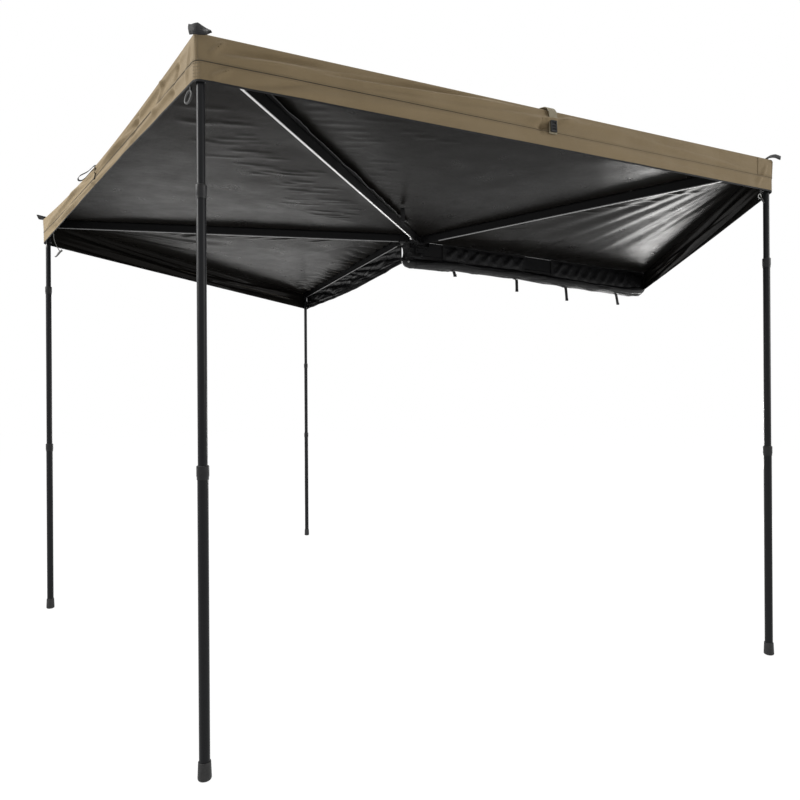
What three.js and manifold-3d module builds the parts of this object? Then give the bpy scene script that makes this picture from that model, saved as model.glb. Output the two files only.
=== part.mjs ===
// A wrap-round vehicle awning, opened over a quarter-less circle: a backplate on the vehicle's side,
// four swinging arms, four telescopic legs, a cloth roof with a hanging valance, and its travel bag.
// Millimetres, +X along the vehicle from the hub, +Y towards the vehicle, +Z up.
import * as THREE from "three";
import { mergeVertices } from "three/addons/utils/BufferGeometryUtils.js";
import Module from "manifold-3d";

const wasm = await Module();
wasm.setup();

// Whole awning. Heights are above the ground.
const hemHeight = 2050;
const valanceDepth = 138;
const clothThickness = 2;
const seatGap = 0.3;
const cutOverrun = 1;

// Arms in the order in which they swing out. Each turn is measured from the arm before it.
const arms = [
  { name: "d", turn: 63.3 },
  { name: "a", turn: 72.7 },
  { name: "b", turn: 61.6 },
  { name: "c", turn: 72.4 },
];
const armLengths = [1892, 2102, 2057, 1921];
// How far the middle of each arm's upper leg lock lies below the leg's pivot.
const upperLockDrops = [361, 368, 311, 571];
// Each hook hangs from the hem at this distance from its arm's corner, towards the next arm, or
// towards the arm before where it is negative. The last arm has none.
const hookPlaces = [60, 39, -75, 0];

// Arm extrusion: a hollow keel with a bead along its lower edge.
const armHeight = 45;
const armWidth = 30;
const armWall = 2.2;
const armShoulder = 10;
const armCornerRadius = 2.5;
const beadWidth = 9;
const beadHeight = 7;
const beadCorner = 2;
const spigotLength = 42;

// Hub: a chain of clevis castings, each carrying the pin of the next arm.
const pinAcross = 46;
const pinAlong = 30;
const pinRadius = 5;
const pinClearance = 0.3;
const pinHeadRadius = 9;
const pinHeadHeight = 2.5;
const earRadius = 13;
const earThickness = 6;
const knuckleReach = 16;
const knuckleLength = 32;
const knuckleWidth = 30;
const knucklePocket = 4;
const hubBarStart = 13;
const hubBarFace = 32;
const hubBarLength = 110;
const hubPlateStart = 20;
const hubPlateDrop = 30;
const hubPlateThickness = 6;
const boltHeadRadius = 6;
const boltHeadHeight = 4;

// Arm end: a casting with a tongue on which the leg's fork turns.
const pivotDrop = 40.7;
const tipInset = 14;
const tipReach = 8;
const tipTongueWidth = 12;
const tipTongueRadius = 12;
const legPinRadius = 4;
const legPinLength = 28;
const cornerReach = 24;

// Telescopic leg: three tubes, two twist locks and a foot.
const tubeWall = 1.2;
const upperTubeRadius = 12.5;
const tubeClearance = 0.55;
const upperTubeLength = 880;
const tubeOverlap = 51;
const capOverhang = 2.7;
const capLength = 26;
const capDrop = 17;
const capChamfer = 1.5;
const forkGap = 12.8;
const forkWidth = 25;
const forkRadius = 11.5;
const lockHeight = 42;
const lockLip = 6;
const lockWall = 2.5;
const lockTaper = 1;
const lockNeckShare = 0.2;
const lockFlareShare = 0.25;
const lockChamfer = 2;
const lowerLockHeight = 905;
const footHeight = 55;
const footSole = 12;
const footWall = 4.5;
const footTopWall = 2.6;
const footEdge = 6;
const footBevelShare = 0.33;

// Backplate and its brackets.
const backplateStart = 20;
const backplateEnd = 2065;
const backplateFace = 60;
const backplateDepth = 25;
const backplateHeight = 125;
const backplateWall = 3;
const backplateChamfer = 3;
const slotHeight = 20;
const slotMouth = 10;
const slotDepth = 9;
const brackets = 3;
const bracketInset = 150;
const bracketWidth = 60;
const bracketLeg = 65;
const bracketThickness = 6;
const bracketHoleRadius = 4.5;
const bracketHolePitch = 30;
const bracketHoleReach = 42;
const gussetThickness = 5;

// Travel bag: two flaps over the backplate and a rolled lower part, with strap tails.
const bagStartReach = 6;
const bagEndInset = 3;
const flapThickness = 9;
const flapTopInset = 5;
const flapDepth = 120;
const flapStarts = [277, 1162];
const flapGap = 182;
const flapEndInset = 7;
const rollRadius = 31;
const rollDrop = 43.7;
const rollSagShares = [0, 0.12, 0.25, 0.4, 0.52, 0.66, 0.8, 0.9, 1];
const rollSag = 4;
const tailPlaces = [330, 852, 1301, 1807];
const tailLengths = [45, 81, 85, 97];
const tailWidth = 20;
const tailThickness = 2.4;

// Cloth.
const roofSag = 22;
const roofInset = 6;
const roofRows = 10;
// The first row of each panel lies over the hub, inside the arms' pins.
const hubBendShare = 1 / roofRows;
const sagStartShare = 2 * hubBendShare;
const valanceFold = 7;
const valanceFolds = 5;
const valanceWaveShare = 0.4;
const curtainOut = 26;
const curtainStart = 60;
const curtainCornerReach = 40;
const curtainExtra = 52;
const edgeStrapWidth = 26;
const edgeStrapDrop = 66;
const edgeStrapHeld = 30;
const edgeStrapShares = { a: 0.485, b: 0.54 };
const buckleWidth = 38;
const buckleHeight = 30;
const buckleThickness = 5;
const buckleBar = 5;
const hookLength = 41;
const hookWidth = 22;
const hookWire = 2;
const hookStrapWidth = 12;
const hookStrapLength = 27;

const roofHeight = hemHeight + valanceDepth;
const armTop = roofHeight - clothThickness - seatGap;
const armBottom = armTop - armHeight;
const pivotHeight = armBottom - pivotDrop;
// The leg with the highest upper lock has the least overlap of its middle and lower tubes.
const middleTubeLength = pivotHeight - Math.min(...upperLockDrops) - lowerLockHeight + tubeOverlap;
const knuckleEnd = knuckleReach + knuckleLength;
const middleTubeRadius = upperTubeRadius + tubeClearance + tubeWall;
const lowerTubeRadius = middleTubeRadius + tubeClearance + tubeWall;
const capRadius = upperTubeRadius + capOverhang;
const footRadius = lowerTubeRadius + footWall;
const footTopRadius = lowerTubeRadius + footTopWall;
const backplateTop = armTop;
const backplateBottom = backplateTop - backplateHeight;
const backplateBack = backplateFace + backplateDepth;
const bagStart = backplateStart - bagStartReach;
const bagEnd = backplateEnd - bagEndInset;
const flapEnds = [flapStarts[1] - flapGap, bagEnd - flapEndInset];
const flapTop = backplateTop - flapTopInset;
const flapBottom = flapTop - flapDepth;
const rollHeight = flapBottom - rollDrop;
const bracketFace = backplateBack + seatGap;
const deg = Math.PI / 180;

const finishes = {
  blackAluminium: { color: 0x17181a, roughness: 0.42, metalness: 0.6 },
  castBlack: { color: 0x1c1d1f, roughness: 0.55, metalness: 0.4 },
  steel: { color: 0xb4b7ba, roughness: 0.35, metalness: 0.9 },
  lockPlastic: { color: 0x1a1a1b, roughness: 0.5, metalness: 0 },
  rubber: { color: 0x101010, roughness: 0.85, metalness: 0 },
  canopyCloth: { color: 0x4a4a49, roughness: 0.6, metalness: 0 },
  khakiCloth: { color: 0x8f8369, roughness: 0.85, metalness: 0 },
  bagCloth: { color: 0x26272a, roughness: 0.7, metalness: 0 },
  webbing: { color: 0x202022, roughness: 0.8, metalness: 0 },
};

// Solids

function welded(geometry) {
  const bare = geometry.clone();
  for (const name of Object.keys(bare.attributes)) if (name !== "position") bare.deleteAttribute(name);
  return mergeVertices(bare, seatGap / 1000);
}

function solidOf(geometry) {
  const merged = welded(geometry);
  return new wasm.Manifold(
    new wasm.Mesh({
      numProp: 3,
      vertProperties: new Float32Array(merged.attributes.position.array),
      triVerts: new Uint32Array(merged.index.array),
    }),
  );
}

function geometryOf(solid) {
  const mesh = solid.getMesh();
  const places = new Float32Array(mesh.numVert * 3);
  for (let i = 0; i < mesh.numVert; i++) {
    const at = i * mesh.numProp;
    places.set(mesh.vertProperties.subarray(at, at + 3), i * 3);
  }
  return new THREE.BufferGeometry()
    .setAttribute("position", new THREE.BufferAttribute(places, 3))
    .setIndex(new THREE.BufferAttribute(mesh.triVerts, 1));
}

function joined(...geometries) {
  return geometryOf(geometries.map(solidOf).reduce((whole, next) => whole.add(next)));
}

function cut(geometry, ...tools) {
  return geometryOf(tools.map(solidOf).reduce((whole, tool) => whole.subtract(tool), solidOf(geometry)));
}

// A closed shape from faces listed as corner points: equal corners are shared and collapsed faces go.
function closedGeometry(faces) {
  const corners = faces.flat().flatMap((p) => [p.x, p.y, p.z]);
  const soup = new THREE.BufferGeometry().setAttribute(
    "position",
    new THREE.BufferAttribute(new Float32Array(corners), 3),
  );
  const merged = mergeVertices(soup, seatGap / 10);
  const index = merged.index.array;
  const kept = [];
  for (let i = 0; i < index.length; i += 3) {
    const [a, b, c] = [index[i], index[i + 1], index[i + 2]];
    if (a !== b && b !== c && c !== a) kept.push(a, b, c);
  }
  merged.setIndex(kept);
  if (signedVolume(merged) < 0) {
    for (let i = 0; i < kept.length; i += 3) [kept[i + 1], kept[i + 2]] = [kept[i + 2], kept[i + 1]];
    merged.setIndex(kept);
  }
  return merged;
}

function signedVolume(geometry) {
  const p = geometry.attributes.position;
  const index = geometry.index.array;
  const [a, b, c] = [new THREE.Vector3(), new THREE.Vector3(), new THREE.Vector3()];
  let sum = 0;
  for (let i = 0; i < index.length; i += 3) {
    a.fromBufferAttribute(p, index[i]);
    b.fromBufferAttribute(p, index[i + 1]);
    c.fromBufferAttribute(p, index[i + 2]);
    sum += a.dot(b.cross(c));
  }
  return sum;
}

function boxBetween(low, high) {
  const size = high.map((v, i) => v - low[i]);
  const middle = high.map((v, i) => (v + low[i]) / 2);
  return new THREE.BoxGeometry(...size).translate(...middle);
}

const alongX = new THREE.Matrix4().makeBasis(
  new THREE.Vector3(0, 1, 0),
  new THREE.Vector3(0, 0, 1),
  new THREE.Vector3(1, 0, 0),
);
const acrossY = new THREE.Matrix4().makeBasis(
  new THREE.Vector3(1, 0, 0),
  new THREE.Vector3(0, 0, 1),
  new THREE.Vector3(0, -1, 0),
);

// An outline of (y, z) points drawn out along X.
function extrudedAlongX(shape, start, end) {
  const made = new THREE.ExtrudeGeometry(shape, { depth: end - start, bevelEnabled: false, curveSegments: 6 });
  return made.applyMatrix4(alongX).translate(start, 0, 0);
}

// An outline of (x, z) points drawn out across Y.
function extrudedAcrossY(shape, low, high) {
  const made = new THREE.ExtrudeGeometry(shape, { depth: high - low, bevelEnabled: false, curveSegments: 8 });
  return made.applyMatrix4(acrossY).translate(0, high, 0);
}

function cylinderUp(radius, low, high, sides = 16) {
  return new THREE.CylinderGeometry(radius, radius, high - low, sides)
    .rotateX(Math.PI / 2)
    .translate(0, 0, (low + high) / 2);
}

function cylinderAcross(radius, low, high, sides = 20) {
  return new THREE.CylinderGeometry(radius, radius, high - low, sides).translate(0, (low + high) / 2, 0);
}

// A turned piece round Z from (radius, height) points.
function turned(points, sides = 20) {
  const profile = points.map(([r, z]) => new THREE.Vector2(r, z));
  const made = new THREE.LatheGeometry(profile, sides).rotateX(Math.PI / 2);
  const merged = welded(made);
  const faces = [];
  const p = merged.attributes.position;
  for (const i of merged.index.array) faces.push(new THREE.Vector3().fromBufferAttribute(p, i));
  const triples = [];
  for (let i = 0; i < faces.length; i += 3) triples.push([faces[i], faces[i + 1], faces[i + 2]]);
  return closedGeometry(triples);
}

function tube(radius, bore, low, high, sides = 20) {
  return turned([[bore, low], [radius, low], [radius, high], [bore, high], [bore, low]], sides);
}

// A sheet with an even thickness. place gives a point, and side the way to its other face.
function sheet(columns, rows, place, side) {
  const faces = [];
  const near = (i, j) => place(i / columns, j / rows);
  const far = (i, j) => near(i, j).clone().addScaledVector(side(i / columns, j / rows), clothThickness);
  const quad = (a, b, c, d) => faces.push([a, b, c], [a, c, d]);
  for (let i = 0; i < columns; i++) {
    for (let j = 0; j < rows; j++) {
      quad(near(i, j), near(i + 1, j), near(i + 1, j + 1), near(i, j + 1));
      quad(far(i, j + 1), far(i + 1, j + 1), far(i + 1, j), far(i, j));
    }
    quad(near(i + 1, 0), near(i, 0), far(i, 0), far(i + 1, 0));
    quad(near(i, rows), near(i + 1, rows), far(i + 1, rows), far(i, rows));
  }
  for (let j = 0; j < rows; j++) {
    quad(near(0, j), near(0, j + 1), far(0, j + 1), far(0, j));
    quad(near(columns, j + 1), near(columns, j), far(columns, j), far(columns, j + 1));
  }
  return closedGeometry(faces);
}

function piece(name, geometry, finish) {
  const mesh = new THREE.Mesh(geometry, new THREE.MeshStandardMaterial(finishes[finish]));
  mesh.name = name;
  return mesh;
}

// Places in plan, worked out down the chain of pins.

let heading = 0;
let pin = new THREE.Vector2(0, 0);
arms.forEach((arm, k) => {
  arm.length = armLengths[k];
  arm.upperLockDrop = upperLockDrops[k];
  arm.hookPlace = hookPlaces[k];
  if (k > 0) {
    pin = pin.clone().add(new THREE.Vector2(pinAlong, -pinAcross).rotateAround(new THREE.Vector2(), heading));
  }
  heading -= arm.turn * deg;
  arm.heading = heading;
  arm.pin = pin;
  arm.out = new THREE.Vector2(Math.cos(heading), Math.sin(heading));
  arm.left = new THREE.Vector2(-arm.out.y, arm.out.x);
  arm.corner = pin.clone().addScaledVector(arm.out, arm.length + cornerReach);
  arm.inner = pin;
});
const [armD, armA, armB, armC] = arms;

// On its vehicle side the roof reaches past the last arm, to where the side curtain hangs.
armC.inner = armC.pin.clone().addScaledVector(armC.left, -curtainOut);
armC.corner = armC.inner.clone().addScaledVector(armC.out, armC.length + curtainCornerReach);

const backplateInner = new THREE.Vector2(backplateStart, backplateFace + roofInset);
const backplateCorner = new THREE.Vector2(backplateEnd, backplateFace + roofInset);
const hubCentre = armD.pin.clone().add(armA.pin).add(armB.pin).add(armC.inner).divideScalar(arms.length);

// Arm pieces, in the arm's own frame: +X outwards, Z up from its lower edge.

// The arm's outline, drawn inwards by an even amount. Only the outer one has the bead.
function armOutline(inset) {
  const half = armWidth / 2;
  const bead = beadWidth / 2;
  const slope = (half - bead) / (armHeight - armShoulder - beadHeight);
  const lean = Math.hypot(1, slope);
  const shoulder = armHeight - armShoulder + (inset * (lean - 1)) / slope;
  const side = half - inset;
  const top = armHeight - inset;
  const right = [];
  if (inset > 0) {
    right.push([bead + slope * inset - lean * inset, beadHeight + inset]);
  } else {
    right.push([bead - beadCorner, 0], [bead, beadCorner], [bead, beadHeight]);
  }
  right.push([side, shoulder], [side, top - armCornerRadius], [side - armCornerRadius, top]);
  const shape = new THREE.Shape();
  right.forEach(([y, z], k) => (k ? shape.lineTo(y, z) : shape.moveTo(y, z)));
  right.reverse().forEach(([y, z]) => shape.lineTo(-y, z));
  shape.closePath();
  return shape;
}

function armExtrusion(arm) {
  const shape = armOutline(0);
  shape.holes.push(armOutline(armWall));
  return extrudedAlongX(shape, knuckleEnd + seatGap, arm.length - tipInset - seatGap);
}

function spigot(start, end) {
  return extrudedAlongX(armOutline(armWall + seatGap), start, end);
}

// Two ears round a pin, each joined by a web to the casting's side at the given Y.
function ears(x, y, sideY) {
  const made = [];
  for (const low of [0, armHeight - earThickness]) {
    const high = low + earThickness;
    made.push(cylinderUp(earRadius, low, high).translate(x, y, 0));
    made.push(boxBetween([x - earRadius, Math.min(y, sideY), low], [x + earRadius, Math.max(y, sideY), high]));
  }
  return made;
}

// The holes in a pair of ears, with a counterbore in each outer face for the pin's head.
function pinHoles(x, y) {
  const sink = pinHeadHeight + seatGap;
  return [
    cylinderUp(pinRadius + pinClearance, -cutOverrun, armHeight + cutOverrun).translate(x, y, 0),
    cylinderUp(pinHeadRadius + pinClearance, -cutOverrun, sink).translate(x, y, 0),
    cylinderUp(pinHeadRadius + pinClearance, armHeight - sink, armHeight + cutOverrun).translate(x, y, 0),
  ];
}

// The casting at the arm's inner end: a tongue on its own pin, a block, and ears for the next arm.
function rootKnuckle(arm) {
  const half = knuckleWidth / 2;
  const tongueLow = earThickness + seatGap;
  const tongueHigh = armHeight - tongueLow;
  const solids = [
    cylinderUp(earRadius, tongueLow, tongueHigh),
    boxBetween([0, -earRadius, tongueLow], [knuckleReach + cutOverrun, earRadius, tongueHigh]),
    boxBetween([knuckleReach, -half, 0], [knuckleEnd, half, armHeight]),
    spigot(knuckleEnd - cutOverrun, knuckleEnd + spigotLength),
  ];
  const holes = [cylinderUp(pinRadius + pinClearance, -cutOverrun, armHeight + cutOverrun)];
  for (const side of [-1, 1]) {
    const outer = side * (half + cutOverrun);
    const inner = side * (half - knucklePocket);
    holes.push(
      boxBetween(
        [knuckleReach + knucklePocket, Math.min(outer, inner), earThickness + knucklePocket],
        [knuckleEnd - knucklePocket, Math.max(outer, inner), armHeight - earThickness - knucklePocket],
      ),
    );
  }
  if (arm !== armC) {
    solids.push(...ears(pinAlong, -pinAcross, -half + cutOverrun));
    holes.push(...pinHoles(pinAlong, -pinAcross));
  }
  return cut(joined(...solids), ...holes);
}

function hubPin() {
  const high = armHeight - pinHeadHeight;
  return turned([
    [0, 0],
    [pinHeadRadius, 0],
    [pinHeadRadius, pinHeadHeight],
    [pinRadius, pinHeadHeight],
    [pinRadius, high],
    [pinHeadRadius, high],
    [pinHeadRadius, armHeight],
    [0, armHeight],
  ], 16);
}

// The casting at the arm's outer end: a block, and a tongue that holds the leg's pivot pin.
function tipCasting(arm) {
  const x = arm.length;
  const inner = x - tipInset;
  const half = armWidth / 2;
  const tongue = new THREE.Shape();
  tongue.moveTo(x - tipTongueRadius, cutOverrun);
  tongue.lineTo(x - tipTongueRadius, -pivotDrop);
  tongue.absarc(x, -pivotDrop, tipTongueRadius, Math.PI, Math.PI * 2, false);
  tongue.lineTo(x + tipReach, cutOverrun);
  tongue.closePath();
  return joined(
    spigot(inner - spigotLength, inner + cutOverrun),
    boxBetween([inner, -half, 0], [x + tipReach, half, armHeight]),
    extrudedAcrossY(tongue, -tipTongueWidth / 2, tipTongueWidth / 2),
    cylinderAcross(legPinRadius, -legPinLength / 2, legPinLength / 2, 16).translate(x, 0, -pivotDrop),
  );
}

// A short webbing loop under the hem, with a wire ring in it.
function cornerHook() {
  const half = hookStrapWidth / 2;
  const thick = clothThickness / 2;
  const strap = boxBetween([-thick, -half, -hookStrapLength], [thick, half, -seatGap]);
  const radius = hookWidth / 2;
  const top = -hookStrapLength + hookWire - radius;
  const bottom = top - (hookLength - hookWidth);
  const around = [];
  const steps = 12;
  for (let k = 0; k < steps; k++) {
    const t = (Math.PI * 2 * k) / steps + Math.PI / steps;
    around.push(new THREE.Vector3(0, radius * Math.cos(t), (k < steps / 2 ? top : bottom) + radius * Math.sin(t)));
  }
  const loop = new THREE.CatmullRomCurve3(around, true);
  const section = new THREE.Shape().absarc(0, 0, hookWire, 0, Math.PI * 2, false);
  const ring = new THREE.ExtrudeGeometry(section, { steps: 20, curveSegments: 4, extrudePath: loop });
  return joined(strap, closedRing(ring));
}

// The wire of a closed loop, without the two end faces that meet where it starts.
function closedRing(geometry) {
  const merged = welded(geometry);
  const index = [...merged.index.array];
  const keys = [];
  for (let i = 0; i < index.length; i += 3) {
    keys.push([index[i], index[i + 1], index[i + 2]].sort((a, b) => a - b).join());
  }
  const kept = [];
  keys.forEach((key, k) => {
    const corners = [index[k * 3], index[k * 3 + 1], index[k * 3 + 2]];
    const single = keys.indexOf(key) === keys.lastIndexOf(key);
    if (single && new Set(corners).size === 3) kept.push(...corners);
  });
  merged.setIndex(kept);
  return merged;
}

// Leg pieces, in the leg's own frame: Z up, with the pivot at the origin.

function upperTube() {
  const bore = upperTubeRadius - tubeWall;
  const capLow = -capDrop - capLength;
  const body = turned([
    [0, -capDrop],
    [0, capLow],
    [bore, capLow],
    [bore, -upperTubeLength],
    [upperTubeRadius, -upperTubeLength],
    [upperTubeRadius, capLow],
    [capRadius, capLow + capChamfer],
    [capRadius, -capDrop - capChamfer],
    [capRadius - capChamfer, -capDrop],
    [0, -capDrop],
  ]);
  const cheek = new THREE.Shape();
  cheek.moveTo(forkRadius, 0);
  cheek.absarc(0, 0, forkRadius, 0, Math.PI, false);
  cheek.lineTo(-forkRadius, -capDrop - cutOverrun);
  cheek.lineTo(forkRadius, -capDrop - cutOverrun);
  cheek.closePath();
  const cheeks = joined(
    extrudedAcrossY(cheek, -forkWidth / 2, -forkGap / 2),
    extrudedAcrossY(cheek, forkGap / 2, forkWidth / 2),
  );
  const round = cylinderUp(capRadius, -capDrop - capChamfer, forkRadius + cutOverrun);
  const fork = geometryOf(solidOf(cheeks).intersect(solidOf(round)));
  const bolt = cylinderAcross(legPinRadius + seatGap, -forkWidth, forkWidth, 16);
  return cut(joined(body, fork), bolt);
}

// A twist lock: its lower part grips the outer tube, and its lip closes on the inner one.
function twistLock(innerRadius, outerRadius, top) {
  const low = top - lockHeight;
  const seat = top - lockLip;
  const bore = outerRadius + pinClearance;
  const outside = outerRadius + lockWall;
  return turned([
    [bore, low],
    [outside - lockTaper, low],
    [outside - lockTaper, low + lockHeight * lockNeckShare],
    [outside, low + lockHeight * lockFlareShare],
    [outside, top - lockChamfer],
    [outside - lockChamfer, top],
    [innerRadius + pinClearance, top],
    [innerRadius + pinClearance, seat],
    [bore, seat],
    [bore, low],
  ]);
}

function middleTube(top) {
  return tube(middleTubeRadius, middleTubeRadius - tubeWall, top - middleTubeLength, top);
}

function lowerTube(top) {
  return tube(lowerTubeRadius, lowerTubeRadius - tubeWall, footSole + seatGap - pivotHeight, top);
}

function foot() {
  const bore = lowerTubeRadius + seatGap;
  const ground = -pivotHeight;
  const rim = ground + footHeight;
  return turned([
    [0, ground],
    [footRadius - footEdge, ground],
    [footRadius - footEdge * footBevelShare, ground + footEdge * footBevelShare],
    [footRadius, ground + footEdge],
    [footTopRadius, rim - tubeWall],
    [bore + tubeWall, rim],
    [bore, rim],
    [bore, ground + footSole],
    [0, ground + footSole],
  ]);
}

function leg(arm) {
  const upperLockTop = lockHeight / 2 - arm.upperLockDrop;
  const lowerLockTop = lowerLockHeight + lockHeight / 2 - pivotHeight;
  const middleTop = upperLockTop - lockLip - seatGap;
  const lowerTop = lowerLockTop - lockLip - seatGap;
  const group = new THREE.Group();
  const name = `leg_${arm.name}`;
  group.add(
    piece(`${name}_upper_tube`, upperTube(), "blackAluminium"),
    piece(`${name}_upper_lock`, twistLock(upperTubeRadius, middleTubeRadius, upperLockTop), "lockPlastic"),
    piece(`${name}_middle_tube`, middleTube(middleTop), "blackAluminium"),
    piece(`${name}_lower_lock`, twistLock(middleTubeRadius, lowerTubeRadius, lowerLockTop), "lockPlastic"),
    piece(`${name}_lower_tube`, lowerTube(lowerTop), "blackAluminium"),
    piece(`${name}_foot`, foot(), "rubber"),
  );
  group.position.set(arm.length, 0, -pivotDrop);
  return group;
}

function armGroup(arm) {
  const group = new THREE.Group();
  group.add(
    piece(`arm_${arm.name}_rail`, armExtrusion(arm), "blackAluminium"),
    piece(`arm_${arm.name}_knuckle`, rootKnuckle(arm), "castBlack"),
    piece(`arm_${arm.name}_tip`, tipCasting(arm), "castBlack"),
    piece(`hub_pin_${arm.name}`, hubPin(), "steel"),
    leg(arm),
  );
  group.position.set(arm.pin.x, arm.pin.y, armBottom);
  group.rotation.z = arm.heading;
  return group;
}

// Backplate, hub bracket and vehicle brackets, with Z up from the ground.

function slotCentres() {
  const inset = slotHeight / 2 + backplateWall * 2;
  return [backplateBottom + inset, backplateTop - inset];
}

// The backplate's outline: a flat front, and two T slots for bolts that open at the back.
function backplate() {
  const [front, back, low, high] = [backplateFace, backplateBack, backplateBottom, backplateTop];
  const lip = back - backplateWall;
  const floor = lip - slotDepth;
  const wide = slotHeight / 2;
  const mouth = slotMouth / 2;
  const shape = new THREE.Shape();
  shape.moveTo(front, low + backplateChamfer);
  shape.lineTo(front + backplateChamfer, low);
  shape.lineTo(back, low);
  for (const centre of slotCentres()) {
    shape.lineTo(back, centre - mouth);
    shape.lineTo(lip, centre - mouth);
    shape.lineTo(lip, centre - wide);
    shape.lineTo(floor, centre - wide);
    shape.lineTo(floor, centre + wide);
    shape.lineTo(lip, centre + wide);
    shape.lineTo(lip, centre + mouth);
    shape.lineTo(back, centre + mouth);
  }
  shape.lineTo(back, high);
  shape.lineTo(front + backplateChamfer, high);
  shape.lineTo(front, high - backplateChamfer);
  shape.closePath();
  const near = front + backplateWall;
  const far = floor - backplateWall;
  const [first, second] = slotCentres();
  const hollow = new THREE.Path();
  hollow.moveTo(near, low + backplateWall + backplateChamfer);
  hollow.lineTo(far, low + backplateWall + backplateChamfer);
  hollow.lineTo(far, first + wide + backplateWall);
  hollow.lineTo(lip, first + wide + backplateWall);
  hollow.lineTo(lip, second - wide - backplateWall);
  hollow.lineTo(far, second - wide - backplateWall);
  hollow.lineTo(far, high - backplateWall - backplateChamfer);
  hollow.lineTo(near, high - backplateWall - backplateChamfer);
  hollow.closePath();
  shape.holes.push(hollow);
  return extrudedAlongX(shape, backplateStart, backplateEnd);
}

// The hub bracket carries the first arm's pin, and its plate is bolted to the backplate's front.
function hubBracket() {
  const back = backplateFace - seatGap;
  const plateFace = back - hubPlateThickness;
  const solids = [
    boxBetween([-hubBarStart, hubBarFace, 0], [hubBarLength, back, armHeight]),
    boxBetween([hubPlateStart, plateFace, -hubPlateDrop], [hubBarLength, back, cutOverrun]),
    ...ears(0, 0, hubBarFace + cutOverrun),
  ];
  const holes = pinHoles(0, 0);
  const pockets = 2;
  const pitch = (hubBarLength - hubBarStart) / pockets;
  for (let k = 0; k < pockets; k++) {
    const start = hubBarStart + pitch * k;
    const middle = start + pitch / 2;
    holes.push(
      boxBetween(
        [start + knucklePocket, hubBarFace - cutOverrun, earThickness + knucklePocket],
        [start + pitch - knucklePocket, plateFace, armHeight - earThickness - knucklePocket],
      ),
    );
    solids.push(
      cylinderAcross(boltHeadRadius, plateFace - boltHeadHeight, plateFace + cutOverrun, 6)
        .translate(middle, 0, -hubPlateDrop / 2),
    );
  }
  return cut(joined(...solids), ...holes).translate(0, 0, armBottom);
}

// An L bracket: its upright lies on the backplate's back, and its shelf rests on the vehicle's rack.
function vehicleBracket(x) {
  const half = bracketWidth / 2;
  const [lowSlot, highSlot] = slotCentres();
  const shelfLow = lowSlot - slotHeight / 2;
  const shelfHigh = shelfLow + bracketThickness;
  const top = highSlot + slotHeight / 2;
  const face = bracketFace + bracketThickness;
  const solids = [
    boxBetween([x - half, bracketFace, shelfLow], [x + half, face, top]),
    boxBetween([x - half, bracketFace, shelfLow], [x + half, bracketFace + bracketLeg, shelfHigh]),
  ];
  const gusset = new THREE.Shape();
  gusset.moveTo(face - cutOverrun, shelfHigh - cutOverrun);
  gusset.lineTo(face + bracketLeg / 2, shelfHigh - cutOverrun);
  gusset.lineTo(face - cutOverrun, shelfHigh + bracketLeg / 2);
  gusset.closePath();
  for (const side of [-1, 1]) {
    const low = side < 0 ? x - half : x + half - gussetThickness;
    solids.push(extrudedAlongX(gusset, low, low + gussetThickness));
  }
  for (const side of [-1, 1]) {
    const at = x + (side * bracketHolePitch) / 2;
    const shank = slotMouth / 2 - seatGap;
    solids.push(
      cylinderAcross(boltHeadRadius, face - cutOverrun, face + boltHeadHeight, 6).translate(at, 0, highSlot),
      cylinderAcross(shank, bracketFace - backplateWall, face, 12).translate(at, 0, highSlot),
    );
  }
  const holes = [-1, 1].map((side) =>
    cylinderUp(bracketHoleRadius, shelfLow - cutOverrun, shelfHigh + cutOverrun, 16).translate(
      x + (side * bracketHolePitch) / 2,
      bracketFace + bracketHoleReach,
      0,
    ),
  );
  return cut(joined(...solids), ...holes);
}

// Travel bag: its flaps lie on the backplate's front, and the rest is rolled up below them.
function travelBag() {
  const back = backplateFace - seatGap;
  const front = back - flapThickness;
  const rollY = back - flapThickness / 2;
  const solids = flapStarts.map((start, k) =>
    boxBetween([start, front, flapBottom], [flapEnds[k], back, flapTop]),
  );
  const strip = [flapEnds[1], back, flapBottom + cutOverrun];
  solids.push(boxBetween([bagStart + flapThickness, front, rollHeight], strip));
  const path = new THREE.CatmullRomCurve3(
    rollSagShares.map((share, k) => {
      const x = bagStart + (bagEnd - bagStart) * share;
      return new THREE.Vector3(x, rollY, rollHeight - (k % 2 ? rollSag : 0));
    }),
  );
  const section = new THREE.Shape().absarc(0, 0, rollRadius, 0, Math.PI * 2, false);
  const roll = new THREE.ExtrudeGeometry(section, { steps: 28, curveSegments: 6, extrudePath: path });
  solids.push(roll);
  tailPlaces.forEach((x, k) => {
    const half = [tailWidth / 2, tailThickness / 2];
    const bottom = rollHeight - rollRadius - tailLengths[k];
    solids.push(boxBetween([x - half[0], rollY - half[1], bottom], [x + half[0], rollY + half[1], rollHeight]));
  });
  return joined(...solids);
}

// Cloth

const smooth = (t) => t * t * (3 - 2 * t);

// A point on the way from the hub's centre, past an arm's pin, to its corner.
function edgePoint(inner, corner, u) {
  return u < hubBendShare
    ? hubCentre.clone().lerp(inner, u / hubBendShare)
    : inner.clone().lerp(corner, (u - hubBendShare) / (1 - hubBendShare));
}

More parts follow.
